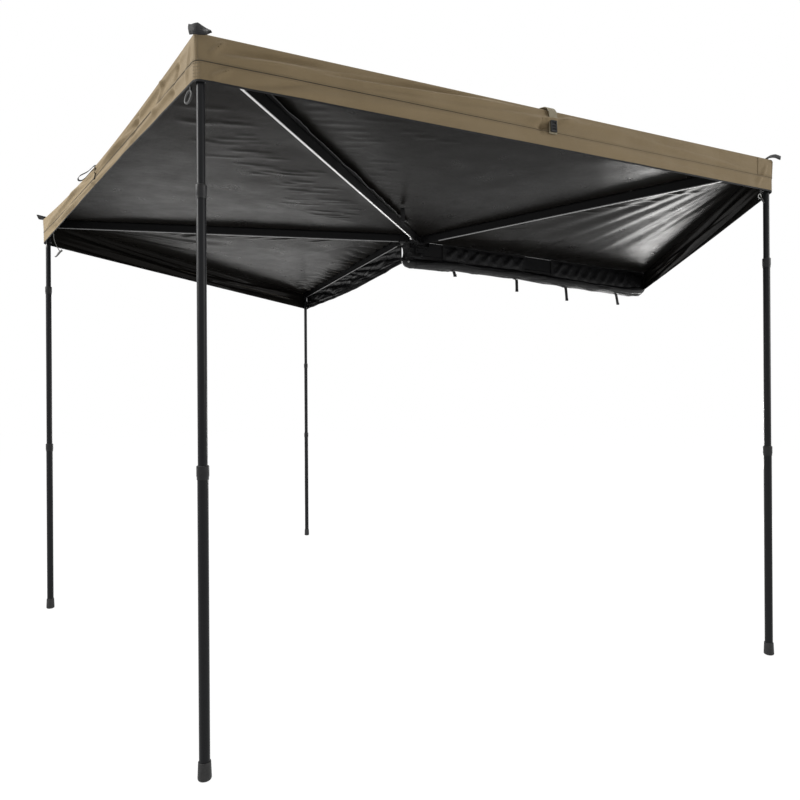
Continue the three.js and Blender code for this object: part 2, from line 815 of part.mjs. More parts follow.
// The cloth between two arms, flat over the arms and sagging a little between them.
function roofPanel(innerA, cornerA, innerB, cornerB) {
  const place = (v, u) => {
    const a = edgePoint(innerA, cornerA, u);
    const b = edgePoint(innerB, cornerB, u);
    const width = a.distanceTo(b);
    const gap = width > 0 ? Math.min(0.5, seatGap / width) : 0;
    const p = a.lerp(b, gap + (1 - 2 * gap) * v);
    const clear = width > 0 ? Math.max(0, Math.min(v, 1 - v) * width - armWidth) / width : 0;
    const out = Math.max(0, (u - sagStartShare) / (1 - sagStartShare));
    const sag = roofSag * smooth(Math.min(1, clear * 2)) * smooth(out) * Math.sin(Math.PI * out);
    return new THREE.Vector3(p.x, p.y, roofHeight - clothThickness - sag);
  };
  return sheet(roofRows, roofRows, place, () => new THREE.Vector3(0, 0, 1));
}

// The cloth that hangs from one corner to the next, in soft folds.
function valance(from, to, depthFrom, depthTo) {
  const along = to.clone().sub(from);
  const length = along.length();
  along.normalize();
  const outward = new THREE.Vector3(-along.y, along.x, 0);
  const place = (v, t) => {
    const at = seatGap + (length - 2 * seatGap) * v;
    const hang = depthFrom + (depthTo - depthFrom) * v;
    const wave = Math.sin(Math.PI * 2 * valanceFolds * v) * Math.cos(Math.PI * v) ** 2;
    const bulge = valanceFold * t * Math.sin(Math.PI * v) * (1 - valanceWaveShare + valanceWaveShare * wave);
    const p = from.clone().addScaledVector(along, at);
    return new THREE.Vector3(p.x, p.y, roofHeight - hang * t).addScaledVector(outward, seatGap + bulge);
  };
  return sheet(24, 3, place, () => outward);
}

// A webbing strap that turns down over the roof's edge, with a ladder buckle on it.
function edgeStrap(from, to, share) {
  const half = edgeStrapWidth / 2;
  const halfBuckle = buckleWidth / 2;
  const inner = clothThickness + seatGap * 2;
  const lower = inner + (valanceFold * edgeStrapDrop) / valanceDepth;
  const shape = new THREE.Shape();
  shape.moveTo(-edgeStrapHeld, seatGap);
  shape.lineTo(inner, seatGap);
  shape.lineTo(lower, -edgeStrapDrop);
  shape.lineTo(lower + clothThickness, -edgeStrapDrop);
  shape.lineTo(inner + clothThickness, seatGap + clothThickness);
  shape.lineTo(-edgeStrapHeld, seatGap + clothThickness);
  shape.closePath();
  const middle = -edgeStrapDrop / 2;
  const face = (inner + lower) / 2 + clothThickness / 2;
  const frame = boxBetween(
    [-halfBuckle, face, middle - buckleHeight / 2],
    [halfBuckle, face + buckleThickness, middle + buckleHeight / 2],
  );
  const slots = [-1, 1].map((side) => {
    const centre = middle + (side * buckleHeight) / 4;
    const reach = buckleHeight / 4 - buckleBar / 2;
    return boxBetween(
      [-halfBuckle + buckleBar, face + clothThickness, centre - reach],
      [halfBuckle - buckleBar, face + buckleThickness + cutOverrun, centre + reach],
    );
  });
  const made = joined(extrudedAlongX(shape, -half, half), cut(frame, ...slots));
  const along = to.clone().sub(from);
  const at = from.clone().addScaledVector(along, share);
  return made.rotateZ(Math.atan2(along.y, along.x)).translate(at.x, at.y, roofHeight);
}

// The assembly

const awning = new THREE.Group();
for (const arm of arms) awning.add(armGroup(arm));
awning.add(
  piece("backplate", backplate(), "blackAluminium"),
  piece("hub_bracket", hubBracket(), "castBlack"),
  piece("travel_bag", travelBag(), "bagCloth"),
);
const bracketPitch = (backplateEnd - backplateStart - 2 * bracketInset) / (brackets - 1);
for (let k = 0; k < brackets; k++) {
  const bracket = vehicleBracket(backplateStart + bracketInset + bracketPitch * k);
  awning.add(piece(`vehicle_bracket_${k + 1}`, bracket, "steel"));
}

const corners = [backplateCorner, ...arms.map((arm) => arm.corner)];
const inners = [backplateInner, ...arms.map((arm) => arm.inner)];
arms.forEach((arm, k) => {
  const panel = roofPanel(inners[k], corners[k], inners[k + 1], corners[k + 1]);
  awning.add(piece(`roof_panel_${arm.name}`, panel, "canopyCloth"));
});

// The first valance starts in front of the backplate, clear of its end.
const startShare = (roofInset + seatGap + clothThickness) / (backplateCorner.y - armD.corner.y);
const hems = [backplateCorner.clone().lerp(armD.corner, startShare), ...corners.slice(1)];
arms.forEach((arm, k) => {
  const cloth = valance(hems[k], hems[k + 1], valanceDepth, valanceDepth);
  awning.add(piece(`valance_${arm.name}`, cloth, "khakiCloth"));
});
const curtainEnd = armC.inner.clone().addScaledVector(armC.out, curtainStart);
awning.add(
  piece(
    "side_curtain",
    valance(armC.corner, curtainEnd, valanceDepth, valanceDepth + curtainExtra),
    "bagCloth",
  ),
  piece("edge_strap_a", edgeStrap(armD.corner, armA.corner, edgeStrapShares.a), "webbing"),
  piece("edge_strap_b", edgeStrap(armA.corner, armB.corner, edgeStrapShares.b), "webbing"),
);

// Each hook hangs from the hem near its corner. A negative place is towards the arm before.
arms.forEach((arm, k) => {
  if (!arm.hookPlace) return;
  const towards = corners[arm.hookPlace > 0 ? k + 2 : k].clone().sub(arm.corner).normalize();
  const out = new THREE.Vector2(-towards.y, towards.x).multiplyScalar(arm.hookPlace > 0 ? 1 : -1);
  const at = arm.corner
    .clone()
    .addScaledVector(towards, Math.abs(arm.hookPlace))
    .addScaledVector(out, seatGap + clothThickness / 2);
  const hook = piece(`corner_hook_${arm.name}`, cornerHook(), "steel");
  hook.position.set(at.x, at.y, hemHeight);
  hook.rotation.z = arm.heading;
  awning.add(hook);
});

// The origin is at the middle of the whole awning's box, at the ground.
const box = new THREE.Box3().setFromObject(awning);
awning.position.set(-(box.min.x + box.max.x) / 2, -(box.min.y + box.max.y) / 2, -box.min.z);

export default awning;
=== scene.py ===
import math

import bpy
import numpy as np
from mathutils import Matrix, Vector


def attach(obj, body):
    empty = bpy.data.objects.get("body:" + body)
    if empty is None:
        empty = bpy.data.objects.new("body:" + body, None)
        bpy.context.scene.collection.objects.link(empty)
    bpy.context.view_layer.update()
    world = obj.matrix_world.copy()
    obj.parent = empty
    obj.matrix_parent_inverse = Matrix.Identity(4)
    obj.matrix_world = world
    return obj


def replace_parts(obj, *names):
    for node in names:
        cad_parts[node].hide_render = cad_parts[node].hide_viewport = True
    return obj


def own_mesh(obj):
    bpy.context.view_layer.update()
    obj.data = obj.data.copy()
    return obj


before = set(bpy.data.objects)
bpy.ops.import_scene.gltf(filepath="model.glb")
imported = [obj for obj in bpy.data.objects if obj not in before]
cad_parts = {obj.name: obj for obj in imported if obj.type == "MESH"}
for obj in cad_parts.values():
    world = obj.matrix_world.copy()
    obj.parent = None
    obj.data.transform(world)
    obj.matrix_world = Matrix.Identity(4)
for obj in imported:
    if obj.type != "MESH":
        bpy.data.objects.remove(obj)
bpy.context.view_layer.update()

# Sizes in metres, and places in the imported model's own frame
ROOF = 2.188  # the top of the roof cloth
HEM = 2.050
DEPTH = ROOF - HEM
RAIL_TOP = 2.1857
RAIL_LOW = 2.1407
BEAD = 0.0050  # the height of the bright bead along an arm's lower edge
CLOTH = 0.0012  # the cloth's thickness
CORNER_REACH = 0.024  # how far the roof's corners stand beyond the arms
LAST_REACH = 0.040
CURTAIN_OUT = 0.026  # how far the roof stands beside the last arm
BAG_FACE = -0.0716  # the front of the backplate, along y
SEAM_SHARE = 0.56  # of the valance's depth, where its seam is
UP = np.array((0.0, 0.0, 1.0))
RIGHT = np.array((0.8925, -0.4511, 0.0))  # to the right in the photograph

# The arms in the order in which they swing out: pin, direction and length. The letter e stands
# for the roof's edge along the backplate.
ARM_TABLE = {
    "d": ((0.001301, -0.131316), (0.449319, -0.893371), 1.892),
    "a": ((-0.026314, -0.178786), (-0.719340, -0.694658), 2.102),
    "b": ((-0.079849, -0.166536), (-0.953191, 0.302370), 2.057),
    "c": ((-0.094536, -0.113618), (0.0, 1.0), 1.921),
}
ARMS = list(ARM_TABLE)
BEFORE = dict(zip(ARMS, ["e", *ARMS]))
PIN = {key: np.array(pin) for key, (pin, _, _) in ARM_TABLE.items()}
OUT = {key: np.array(out) for key, (_, out, _) in ARM_TABLE.items()}
LEFT = {key: np.array((-out[1], out[0])) for key, out in OUT.items()}
CORNER = {
    key: PIN[key] + OUT[key] * (length + CORNER_REACH)
    for key, (_, _, length) in ARM_TABLE.items()
}
INNER = dict(PIN)
INNER["c"] = PIN["c"] - LEFT["c"] * CURTAIN_OUT
CORNER["c"] = INNER["c"] + OUT["c"] * (ARM_TABLE["c"][2] + LAST_REACH)
CORNER["e"] = np.array((2.0663, -0.0653))
INNER["e"] = np.array((0.0213, -0.0653))
HUB = sum(INNER[key] for key in ARMS) / len(ARMS)
VALANCE_START = CORNER["e"] + (CORNER["d"] - CORNER["e"]) * 0.0047


def add_object(name, data):
    made = bpy.data.objects.new(name, data)
    bpy.context.scene.collection.objects.link(made)
    return made


# Camera, at the place that the photograph was taken from

camera = add_object("camera", bpy.data.cameras.new("camera"))
camera.data.lens = 27.54
camera.data.sensor_width = 36
camera.data.shift_y = 0.0206
heading = Matrix.Rotation(-math.atan2(-RIGHT[1], RIGHT[0]), 4, "Z")
level = Matrix.Rotation(math.radians(90), 4, "X")
roll = Matrix.Rotation(math.radians(-0.35), 4, "Z")
camera.matrix_world = Matrix.Translation((-1.8327, -3.5123, 1.067)) @ heading @ level @ roll
bpy.context.scene.camera = camera


# Materials


def feed(tree, socket, value):
    """Sets a socket's value, or links it to another node's output."""
    if isinstance(value, bpy.types.NodeSocket):
        tree.links.new(value, socket)
    elif socket.type == "RGBA":
        socket.default_value = (*value, 1)
    else:
        socket.default_value = value


def node(tree, kind, inputs, **settings):
    """Makes a shader node, with its inputs by name or number, and gives its outputs."""
    made = tree.nodes.new(f"ShaderNode{kind}")
    for key, value in settings.items():
        setattr(made, key, value)
    for key, value in inputs.items():
        feed(tree, made.inputs[key], value)
    return made.outputs


def maths(tree, operation, *values):
    return node(tree, "Math", dict(enumerate(values)), operation=operation)[0]


def noise(tree, place, scale, detail=3.0):
    inputs = {"Vector": place, "Scale": scale, "Detail": detail}
    return node(tree, "TexNoise", inputs)["Fac"]


def weave(tree, pitch):
    """Crossing waves on the flat cloth."""
    place = node(tree, "UVMap", {}, uv_map="cloth")[0]
    parts = node(tree, "SeparateXYZ", {0: place})
    turn = 2 * math.pi / pitch
    waves = [
        maths(tree, "SINE", maths(tree, "MULTIPLY", parts[axis], turn)) for axis in (0, 1)
    ]
    return maths(tree, "MULTIPLY", *waves)


def spread(tree, value, to_low, to_high):
    """Moves a noise's middle values to a wider range."""
    limits = (value, 0.3, 0.7, to_low, to_high)
    return node(tree, "MapRange", dict(enumerate(limits)))[0]


def mixed(tree, factor, first, second):
    return node(tree, "Mix", {0: factor, 6: first, 7: second}, data_type="RGBA")[2]


def finish(name, light, dark, rough, bumps, blotch=3.0, fleck=260.0, gloss=0.5, **shader):
    """A material whose colour varies in wide blotches and small flecks, with bumps."""
    made = bpy.data.materials.new(name)
    made.use_nodes = True
    tree = made.node_tree
    surface = tree.nodes["Principled BSDF"].inputs
    surface["Specular IOR Level"].default_value = gloss
    for key, value in shader.items():
        surface[key.replace("_", " ")].default_value = value
    place = node(tree, "TexCoord", {})["Object"]
    wide = spread(tree, noise(tree, place, blotch, 4.0), 0.0, 0.7)
    small = spread(tree, noise(tree, place, fleck, 2.0), 0.0, 0.3)
    feed(tree, surface["Base Color"], mixed(tree, maths(tree, "ADD", wide, small), light, dark))
    feed(tree, surface["Roughness"], spread(tree, noise(tree, place, blotch * 5), *rough))
    bump = {}
    for kind, size, strength, distance in bumps:
        height = weave(tree, size) if kind == "weave" else noise(tree, place, size, 4.0)
        bump.update(Height=height, Strength=strength, Distance=distance)
        bump["Normal"] = node(tree, "Bump", bump)[0]
    feed(tree, surface["Normal"], bump["Normal"])
    return made


# Each bump is its kind, its scale or pitch, its strength and its height in metres.
khaki = finish(
    "khaki_canvas", (0.262, 0.199, 0.115), (0.218, 0.164, 0.093), (0.66, 0.82),
    (("noise", 11.0, 0.60, 0.007), ("noise", 42.0, 0.38, 0.0022), ("weave", 0.0022, 0.5, 0.0003)),
    blotch=2.6, fleck=420.0, gloss=0.22, Sheen_Weight=0.06, Sheen_Roughness=0.5,
)
ceiling = finish(
    "coated_black", (0.0105, 0.0096, 0.0086), (0.0070, 0.0065, 0.0060), (0.27, 0.36),
    (("noise", 4.0, 0.32, 0.012), ("noise", 17.0, 0.25, 0.003), ("weave", 0.0022, 0.25, 0.00015)),
    blotch=2.0, fleck=300.0, gloss=0.03,
)
black_cloth = finish(
    "black_canvas", (0.0085, 0.0085, 0.0095), (0.0050, 0.0050, 0.0056), (0.36, 0.55),
    (("noise", 9.0, 0.45, 0.008), ("noise", 36.0, 0.40, 0.0025), ("weave", 0.0026, 0.5, 0.0004)),
    fleck=300.0, gloss=0.28,
)
webbing = finish(
    "black_webbing", (0.012, 0.012, 0.013), (0.006, 0.006, 0.006), (0.55, 0.7),
    (("weave", 0.0034, 0.9, 0.0006),), blotch=14.0, gloss=0.35,
)
khaki_webbing = finish(
    "khaki_webbing", (0.370, 0.325, 0.225), (0.280, 0.242, 0.165), (0.6, 0.75),
    (("weave", 0.0034, 0.9, 0.0006),), blotch=14.0,
)
binding = finish(
    "hem_binding", (0.010, 0.010, 0.011), (0.006, 0.006, 0.006), (0.6, 0.75),
    (("weave", 0.0028, 0.7, 0.0004),), blotch=9.0, gloss=0.3,
)
# Seam colour: partly the piping's own darker tone, partly a painted shadow of the upper band's
# overlapping edge
seam_and_shadow = finish(
    "seam_shadow", (0.055, 0.043, 0.026), (0.030, 0.023, 0.014), (0.7, 0.85),
    (("noise", 300.0, 0.4, 0.0005),), blotch=9.0,
)
thread = finish(
    "khaki_thread", (0.180, 0.142, 0.090), (0.120, 0.094, 0.058), (0.6, 0.75),
    (("noise", 900.0, 0.5, 0.0003),), blotch=20.0,
)
black_thread = finish(
    "black_thread", (0.022, 0.022, 0.023), (0.012, 0.012, 0.012), (0.5, 0.7),
    (("noise", 900.0, 0.5, 0.0003),), blotch=20.0,
)
anodised = finish(
    "black_anodised", (0.0130, 0.0135, 0.0150), (0.0100, 0.0104, 0.0115), (0.28, 0.36),
    (("noise", 60.0, 0.06, 0.0003),), blotch=6.0, fleck=500.0, gloss=0.12,
)
cast_black = finish(
    "black_casting", (0.010, 0.010, 0.011), (0.006, 0.006, 0.0065), (0.42, 0.6),
    (("noise", 420.0, 0.30, 0.0004),), blotch=18.0, fleck=600.0, gloss=0.22,
)
steel = finish(
    "plated_steel", (0.26, 0.26, 0.255), (0.17, 0.17, 0.165), (0.28, 0.42),
    (("noise", 500.0, 0.2, 0.0003),), blotch=25.0, fleck=700.0, Metallic=1.0,
)
lock_plastic = finish(
    "lock_plastic", (0.012, 0.012, 0.013), (0.008, 0.008, 0.0085), (0.38, 0.5),
    (("noise", 900.0, 0.2, 0.0002),), blotch=30.0, fleck=900.0, gloss=0.25,
)
lock_grey = finish(
    "grey_plastic", (0.120, 0.120, 0.118), (0.080, 0.080, 0.078), (0.40, 0.55),
    (("noise", 700.0, 0.2, 0.0002),), blotch=30.0, fleck=900.0,
)
cord_cover = finish(
    "elastic_cover", (0.075, 0.074, 0.068), (0.045, 0.044, 0.040), (0.6, 0.75),
    (("noise", 900.0, 0.6, 0.0004),), blotch=20.0,
)
rubber = finish(
    "foot_rubber", (0.011, 0.011, 0.011), (0.007, 0.007, 0.007), (0.62, 0.8),
    (("noise", 600.0, 0.5, 0.0005),), blotch=30.0, fleck=700.0,
)


def rail_finish(key, glint_share, start):
    """Black anodised sides, and a bead along the lower edge from start outwards: bare metal with a
    painted glint whose brightness is set per arm.
    """
    made = finish(
        f"rail_with_painted_glint_{key}", (0.0052, 0.0052, 0.0056), (0.0036, 0.0036, 0.0040), (0.40, 0.52),
        (("noise", 300.0, 0.06, 0.0002),), blotch=5.0, fleck=500.0, gloss=0.12,
    )
    tree = made.node_tree
    surface = tree.nodes["Principled BSDF"].inputs
    place = node(tree, "TexCoord", {})["Object"]
    # Mask of the bead, where the bare metal and its painted glint go
    low = maths(tree, "LESS_THAN", node(tree, "SeparateXYZ", {0: place})[2], RAIL_LOW + BEAD)
    pin = (*PIN[key], RAIL_LOW)
    reach = node(tree, "VectorMath", {0: place, 1: pin}, operation="DISTANCE")["Value"]
    low = maths(tree, "MULTIPLY", low, maths(tree, "GREATER_THAN", reach, start))
    # Painted glint: the bead's grey is scaled per arm to stand in for how brightly that arm's edge
    # catches the light
    light, dark = ((grey * glint_share,) * 3 for grey in (0.86, 0.68))
    metal_and_glint = mixed(tree, noise(tree, place, 60.0), light, dark)
    colour = surface["Base Color"].links[0].from_socket
    feed(tree, surface["Base Color"], mixed(tree, low, colour, metal_and_glint))
    feed(tree, surface["Metallic"], low)
    return made


# How bright each arm's bead is painted, partly bare metal and partly a painted glint that is
# stronger on the arm the lamps catch, and how far from its pin it begins to show
BEADS = {"d": (0.34, 0.165), "a": (0.70, 0.125), "b": (0.22, 0.06), "c": (0.26, 0.06)}
rail_black = {key: rail_finish(key, *BEADS[key]) for key in ARMS}


# Meshes


def unit(vectors):
    return vectors / np.maximum(np.linalg.norm(vectors, axis=-1, keepdims=True), 1e-12)


def distances(path):
    """How far along a path each of its points is."""
    return np.concatenate([[0], np.cumsum(np.linalg.norm(np.diff(path, axis=0), axis=1))])


def resampled(values, along, where):
    return np.stack([np.interp(where, along, values[:, k]) for k in range(3)], -1)


def cells(grid):
    """The four corners of each cell of a grid of point numbers."""
    corners = [grid[:-1, :-1], grid[1:, :-1], grid[1:, 1:], grid[:-1, 1:]]
    return np.stack(corners, -1).reshape(-1, 4)


def border(grid):
    """What lies along the four sides of a grid, in order."""
    return np.concatenate([grid[0, :-1], grid[:-1, -1], grid[-1, :0:-1], grid[:0:-1, 0]])


def lengths_uv(points, wrap=False):
    """Where each point is on the flat cloth, in metres, from its rows' and columns' lengths."""
    down, across = np.zeros((2, *points.shape[:2]))
    down[1:] = np.cumsum(np.linalg.norm(np.diff(points, axis=0), axis=2), 0)
    across[:, 1:] = np.cumsum(np.linalg.norm(np.diff(points, axis=1), axis=2), 1)
    uv = np.stack([across, down], -1)
    if wrap:
        last = np.linalg.norm(points[:, 0] - points[:, -1], axis=1)
        more = np.stack([across[:, -1] + last, down[:, 0]], -1)[:, None]
        uv = np.concatenate([uv, more], 1)
    return uv.reshape(-1, 2)


def frames(path, up):
    """Two directions across a path at each point, the second nearest to up."""
    ahead = unit(np.gradient(path, axis=0))
    side = np.cross(ahead, np.broadcast_to(np.asarray(up, float), ahead.shape))
    size = np.linalg.norm(side, axis=1, keepdims=True)
    side = np.where(size > 1e-6, unit(side), (1.0, 0.0, 0.0))
    return side, np.cross(side, ahead)


# The corners of a stitch, along, across and up, as shares of its size, and its faces
STITCH_SHARES = (
    (-1, -1, 0), (1, -1, 0), (1, 1, 0), (-1, 1, 0),
    (-0.7, -0.6, 1), (0.7, -0.6, 1), (0.7, 0.6, 1), (-0.7, 0.6, 1),
)
STITCH_FACES = np.array(
    [[4, 5, 6, 7], [0, 1, 5, 4], [1, 2, 6, 5], [2, 3, 7, 6], [3, 0, 4, 7], [3, 2, 1, 0]]
)
STITCH_SUNK = 0.0002  # how deep a stitch sits in the cloth
TIGHT = {"length": 0.003, "gap": 0.0012}  # the stitches of small webbing


class Made:
    """Collects the faces of a mesh, each with its material and its place on the cloth."""

    def __init__(self):
        self.points, self.faces, self.slots, self.flat, self.uvs = [], [], [], [], []
        self.count = 0

    def put(self, faces, slot, uvs, flat):
        """Adds faces on the points that are kept next."""
        self.faces.append(faces + self.count)
        self.slots.append(np.full(len(faces), slot))
        self.flat.append(np.full(len(faces), flat))
        self.uvs.append(uvs)

    def keep(self, points):
        self.points.append(points.reshape(-1, 3))
        self.count += len(self.points[-1])

    def add(self, points, faces, slot=0, uvs=None, flat=True):
        points, faces = np.asarray(points, float).reshape(-1, 3), np.asarray(faces, int)
        if uvs is None:
            uvs = points[faces][..., :2] + points[faces][..., 2:] * 0.7
        self.put(faces, slot, uvs, flat)
        self.keep(points)

    def grid(self, points, slot=0, flip=False, wrap=False):
        """A surface on rows and columns of points, closed round if wrap is set."""
        index = np.arange(points[..., 0].size).reshape(points.shape[:2])
        if wrap:
            index = np.concatenate([index, index[:, :1]], 1)
        quads, corners = cells(index), cells(np.arange(index.size).reshape(index.shape))
        if flip:
            quads, corners = quads[:, ::-1], corners[:, ::-1]
        self.add(points, quads, slot, lengths_uv(points, wrap)[corners], flat=False)

    def layered(self, points, thick, side=1.0, slot=0, inner=None):
        """A closed sheet: its outer face, its inner face and its rim."""
        inner = slot if inner is None else inner
        out = unit(np.cross(np.gradient(points, axis=0), np.gradient(points, axis=1)))
        out = out * side * thick / 2
        index = np.arange(points[..., 0].size).reshape(points.shape[:2])
        quads, rim, shift = cells(index), border(index), index.size
        after = np.roll(rim, -1)
        edge = np.stack([rim, after, after + shift, rim + shift], -1)
        if side < 0:
            quads, edge = quads[:, ::-1], edge[:, ::-1]
        uv = np.concatenate([lengths_uv(points)] * 2)
        self.put(quads, slot, uv[quads], False)
        self.put(quads[:, ::-1] + shift, inner, uv[quads[:, ::-1] + shift], False)
        self.put(edge, slot, uv[edge], True)
        self.keep(np.stack([points + out, points - out]))

    def tube(self, path, radius, sides=8, slot=0, squeeze=1.0, up=UP):
        """A round or flattened tube along points, with closed ends."""
        path = np.asarray(path, float)
        radius = np.broadcast_to(np.asarray(radius, float), (len(path),))
        side, over = frames(path, up)
        angle = np.arange(sides)[None, :, None] * 2 * math.pi / sides
        ring = side[:, None] * np.cos(angle) * squeeze + over[:, None] * np.sin(angle)
        points = path[:, None] + ring * radius[:, None, None]
        self.grid(points, slot, wrap=True)
        self.caps(points, slot)

    def caps(self, rings, slot=0):
        """Closes both ends of a tube that is given as rings of points."""
        count = rings.shape[1]
        number = np.arange(count)
        fan = np.stack([number, np.roll(number, -1), np.full(count, count)], -1)
        for loop, turn in ((rings[0], 1), (rings[-1], -1)):
            faces = fan[:, ::turn][:, [0, 1, 2, 2]]
            self.add(np.concatenate([loop, loop.mean(0)[None]]), faces, slot)

    def box(self, centre, axes, size):
        """A box with its own axes."""
        signs = np.array([[x, y, z] for x in (-1, 1) for y in (-1, 1) for z in (-1, 1)])
        points = np.asarray(centre) + (signs * np.asarray(size) / 2) @ axes
        self.add(points, [[0, 1, 3, 2], [4, 6, 7, 5], [0, 4, 5, 1], [2, 3, 7, 6],
                          [0, 2, 6, 4], [1, 5, 7, 3]])

    def stitches(self, path, out, length=0.0042, gap=0.0022, wide=0.0010, high=0.0007):
        """A row of stitches in the second material, along points that lie on a surface."""
        path = np.asarray(path, float)
        out = np.broadcast_to(np.asarray(out, float), path.shape)
        along = distances(path)
        count = int(along[-1] / (length + gap))
        where = (np.arange(count) + 0.5) * along[-1] / max(count, 1)
        points, ups = resampled(path, along, where), unit(resampled(out, along, where))
        run = unit(resampled(path, along, where + length / 2) - points)
        across = np.cross(run, ups)
        corners = [
            points + run * a * length / 2 + across * b * wide / 2 + ups * (c * high - STITCH_SUNK)
            for a, b, c in STITCH_SHARES
        ]
        first = (np.arange(count) * len(corners))[:, None, None]
        self.add(np.stack(corners, 1), (first + STITCH_FACES).reshape(-1, 4), 1)

    def object(self, name, body, slot, *materials):
        """The mesh as an object that rides a body; the slot argument is not used."""
        mesh = bpy.data.meshes.new(name)
        points, faces = np.concatenate(self.points), np.concatenate(self.faces)
        uvs = np.concatenate([uv.reshape(-1, 4, 2) for uv in self.uvs])
        keep = np.ones(faces.shape, bool)
        keep[:, 3] = faces[:, 2] != faces[:, 3]
        total = keep.sum(1)
        mesh.vertices.add(len(points))
        mesh.vertices.foreach_set("co", points.astype(np.float32).ravel())
        mesh.loops.add(int(total.sum()))
        mesh.loops.foreach_set("vertex_index", faces[keep].astype(np.int32))
        mesh.polygons.add(len(faces))
        start = np.concatenate([[0], np.cumsum(total)[:-1]])
        mesh.polygons.foreach_set("loop_start", start.astype(np.int32))
        for material in materials:
            mesh.materials.append(material)
        mesh.polygons.foreach_set("material_index", np.concatenate(self.slots).astype(np.int32))
        mesh.polygons.foreach_set("use_smooth", ~np.concatenate(self.flat).astype(bool))
        layer = mesh.uv_layers.new(name="cloth")
        layer.data.foreach_set("uv", uvs[keep].astype(np.float32).ravel())
        mesh.update(calc_edges=True)
        mesh.validate()
        made = add_object(name, mesh)
        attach(made, body)
        return made


def smooth(t):
    t = np.clip(t, 0, 1)
    return t * t * (3 - 2 * t)


def rough_field(x, y, cell, seed):
    """Smooth random heights from -1 to 1, the same ones each time."""
    heights = np.random.default_rng(seed).uniform(-1, 1, (64, 64))
    gx, gy = np.asarray(x) / cell + 31.3, np.asarray(y) / cell + 29.7
    ix, iy = np.floor(gx).astype(int), np.floor(gy).astype(int)
    fx, fy = smooth(gx - ix), smooth(gy - iy)
    corner = [heights[(ix + a) % 64, (iy + b) % 64] for a in (0, 1) for b in (0, 1)]
    low = corner[0] * (1 - fy) + corner[1] * fy
    high = corner[2] * (1 - fy) + corner[3] * fy
    return low * (1 - fx) + high * fx


def ridges(x, y, folds):
    """The height that straight folds give, each from one point to another."""
    total = np.zeros(np.shape(x))
    for x0, y0, x1, y1, wide, high in folds:
        dx, dy = x1 - x0, y1 - y0
        long = math.hypot(dx, dy)
        t = ((x - x0) * dx + (y - y0) * dy) / long**2
        off = ((x - x0) * dy - (y - y0) * dx) / long
        ends = smooth((t + 0.02) / 0.3) * smooth((1.02 - t) / 0.3)
        spreads = wide * (0.45 + 0.55 * np.clip(t, 0, 1))
        total += high * ends * np.exp(-((off / spreads) ** 2))
    return total


def at3(plan, z):
    return np.concatenate([plan, np.broadcast_to(z, plan.shape[:-1])[..., None]], -1)


def in3(plan):
    return np.array((*plan, 0.0))


def fold_cloth(piece):
    """Gives cloth beside an arm, which closes up as that arm swings back to the one before, its
    own copy of its mesh.
    """
    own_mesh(piece)
    return piece


def lift_for_leg(piece):
    """Gives cloth that the first arm's leg pushes up, as it folds past the hub, its own copy of
    its mesh.
    """
    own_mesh(piece)


# Roof: a cloth in four panels, stretched over the arms

EDGE_SAG = {"d": 0.006, "a": 0.0, "b": 0.046, "c": 0.010}  # of the free edge between two arms
SEAM_CLEAR = 0.016  # how far folds and sag keep from the line of an arm


def edge_drop(key, s):
    """How far the roof's edge hangs down at shares along it."""
    return EDGE_SAG[key] * np.maximum(np.sin(math.pi * np.asarray(s, float)), 0) ** 0.9


def edge_point(key, u):
    """A point of the roof on the way from the hub over an arm to its corner."""
    bend = 0.06
    near = HUB + (INNER[key] - HUB) * (np.minimum(u, bend) / bend)[:, None]
    far = (CORNER[key] - INNER[key]) * (np.maximum(u - bend, 0) / (1 - bend))[:, None]
    return near + far


def small_folds(key, seed, side, first, last, near, far, lean, count, high):
    """Short parallel folds beside an arm, as a taut cloth has where it is sewn."""
    draw = np.random.default_rng(seed)
    folds = []
    for k in range(count):
        out = first + (last - first) * (k + draw.uniform(-0.3, 0.3)) / count
        start = near + draw.uniform(0, 0.6) * (far - near)
        long = draw.uniform(0.10, 0.24)
        p = PIN[key] + OUT[key] * out + LEFT[key] * side * start
        q = p + OUT[key] * long * math.cos(lean) + LEFT[key] * side * long * math.sin(lean)
        folds.append((*p, *q, draw.uniform(0.010, 0.018), high * draw.uniform(0.5, 1.0)))
    return folds


def fan_folds(key, first, last, count, long, wide, high, seed):
    """Folds that spread from a corner, between two headings in degrees."""
    draw = np.random.default_rng(seed)
    folds = []
    for k in range(count):
        angle = math.radians(first + (last - first) * (k + draw.uniform(-0.25, 0.25)) / count)
        heading = np.array((math.cos(angle), math.sin(angle)))
        reach = long * draw.uniform(0.6, 1.0)
        start = CORNER[key] + 0.03 * heading
        rise = high if k % 2 else -0.7 * high
        folds.append((*start, *(start + reach * heading), wide * draw.uniform(0.7, 1.2),
                      rise * draw.uniform(0.6, 1)))
    return folds


ROOF_FOLDS = {
    "d": fan_folds("d", 56, 112, 13, 1.75, 0.050, 0.0058, 3)
    + small_folds("d", 5, 1, 0.5, 1.7, 0.05, 0.25, 0.5, 12, 0.004),
    "a": small_folds("a", 11, 1, 0.5, 1.8, 0.10, 0.45, -1.3, 26, 0.0024)
    + small_folds("a", 12, 1, 1.2, 1.9, 0.30, 0.80, -1.1, 10, 0.0022)
    + fan_folds("d", 150, 172, 4, 1.2, 0.050, 0.003, 14),
    "b": small_folds("a", 21, -1, 0.45, 1.75, 0.06, 0.50, 0.9, 44, 0.0024)
    + fan_folds("b", -20, 12, 5, 1.3, 0.050, 0.004, 23),
    "c": small_folds("b", 31, -1, 0.35, 1.3, 0.03, 0.22, 0.35, 26, 0.0048)
    + fan_folds("b", -8, 22, 7, 1.4, 0.045, 0.0060, 33)
    + fan_folds("c", 195, 250, 7, 0.9, 0.045, 0.0055, 35),
}


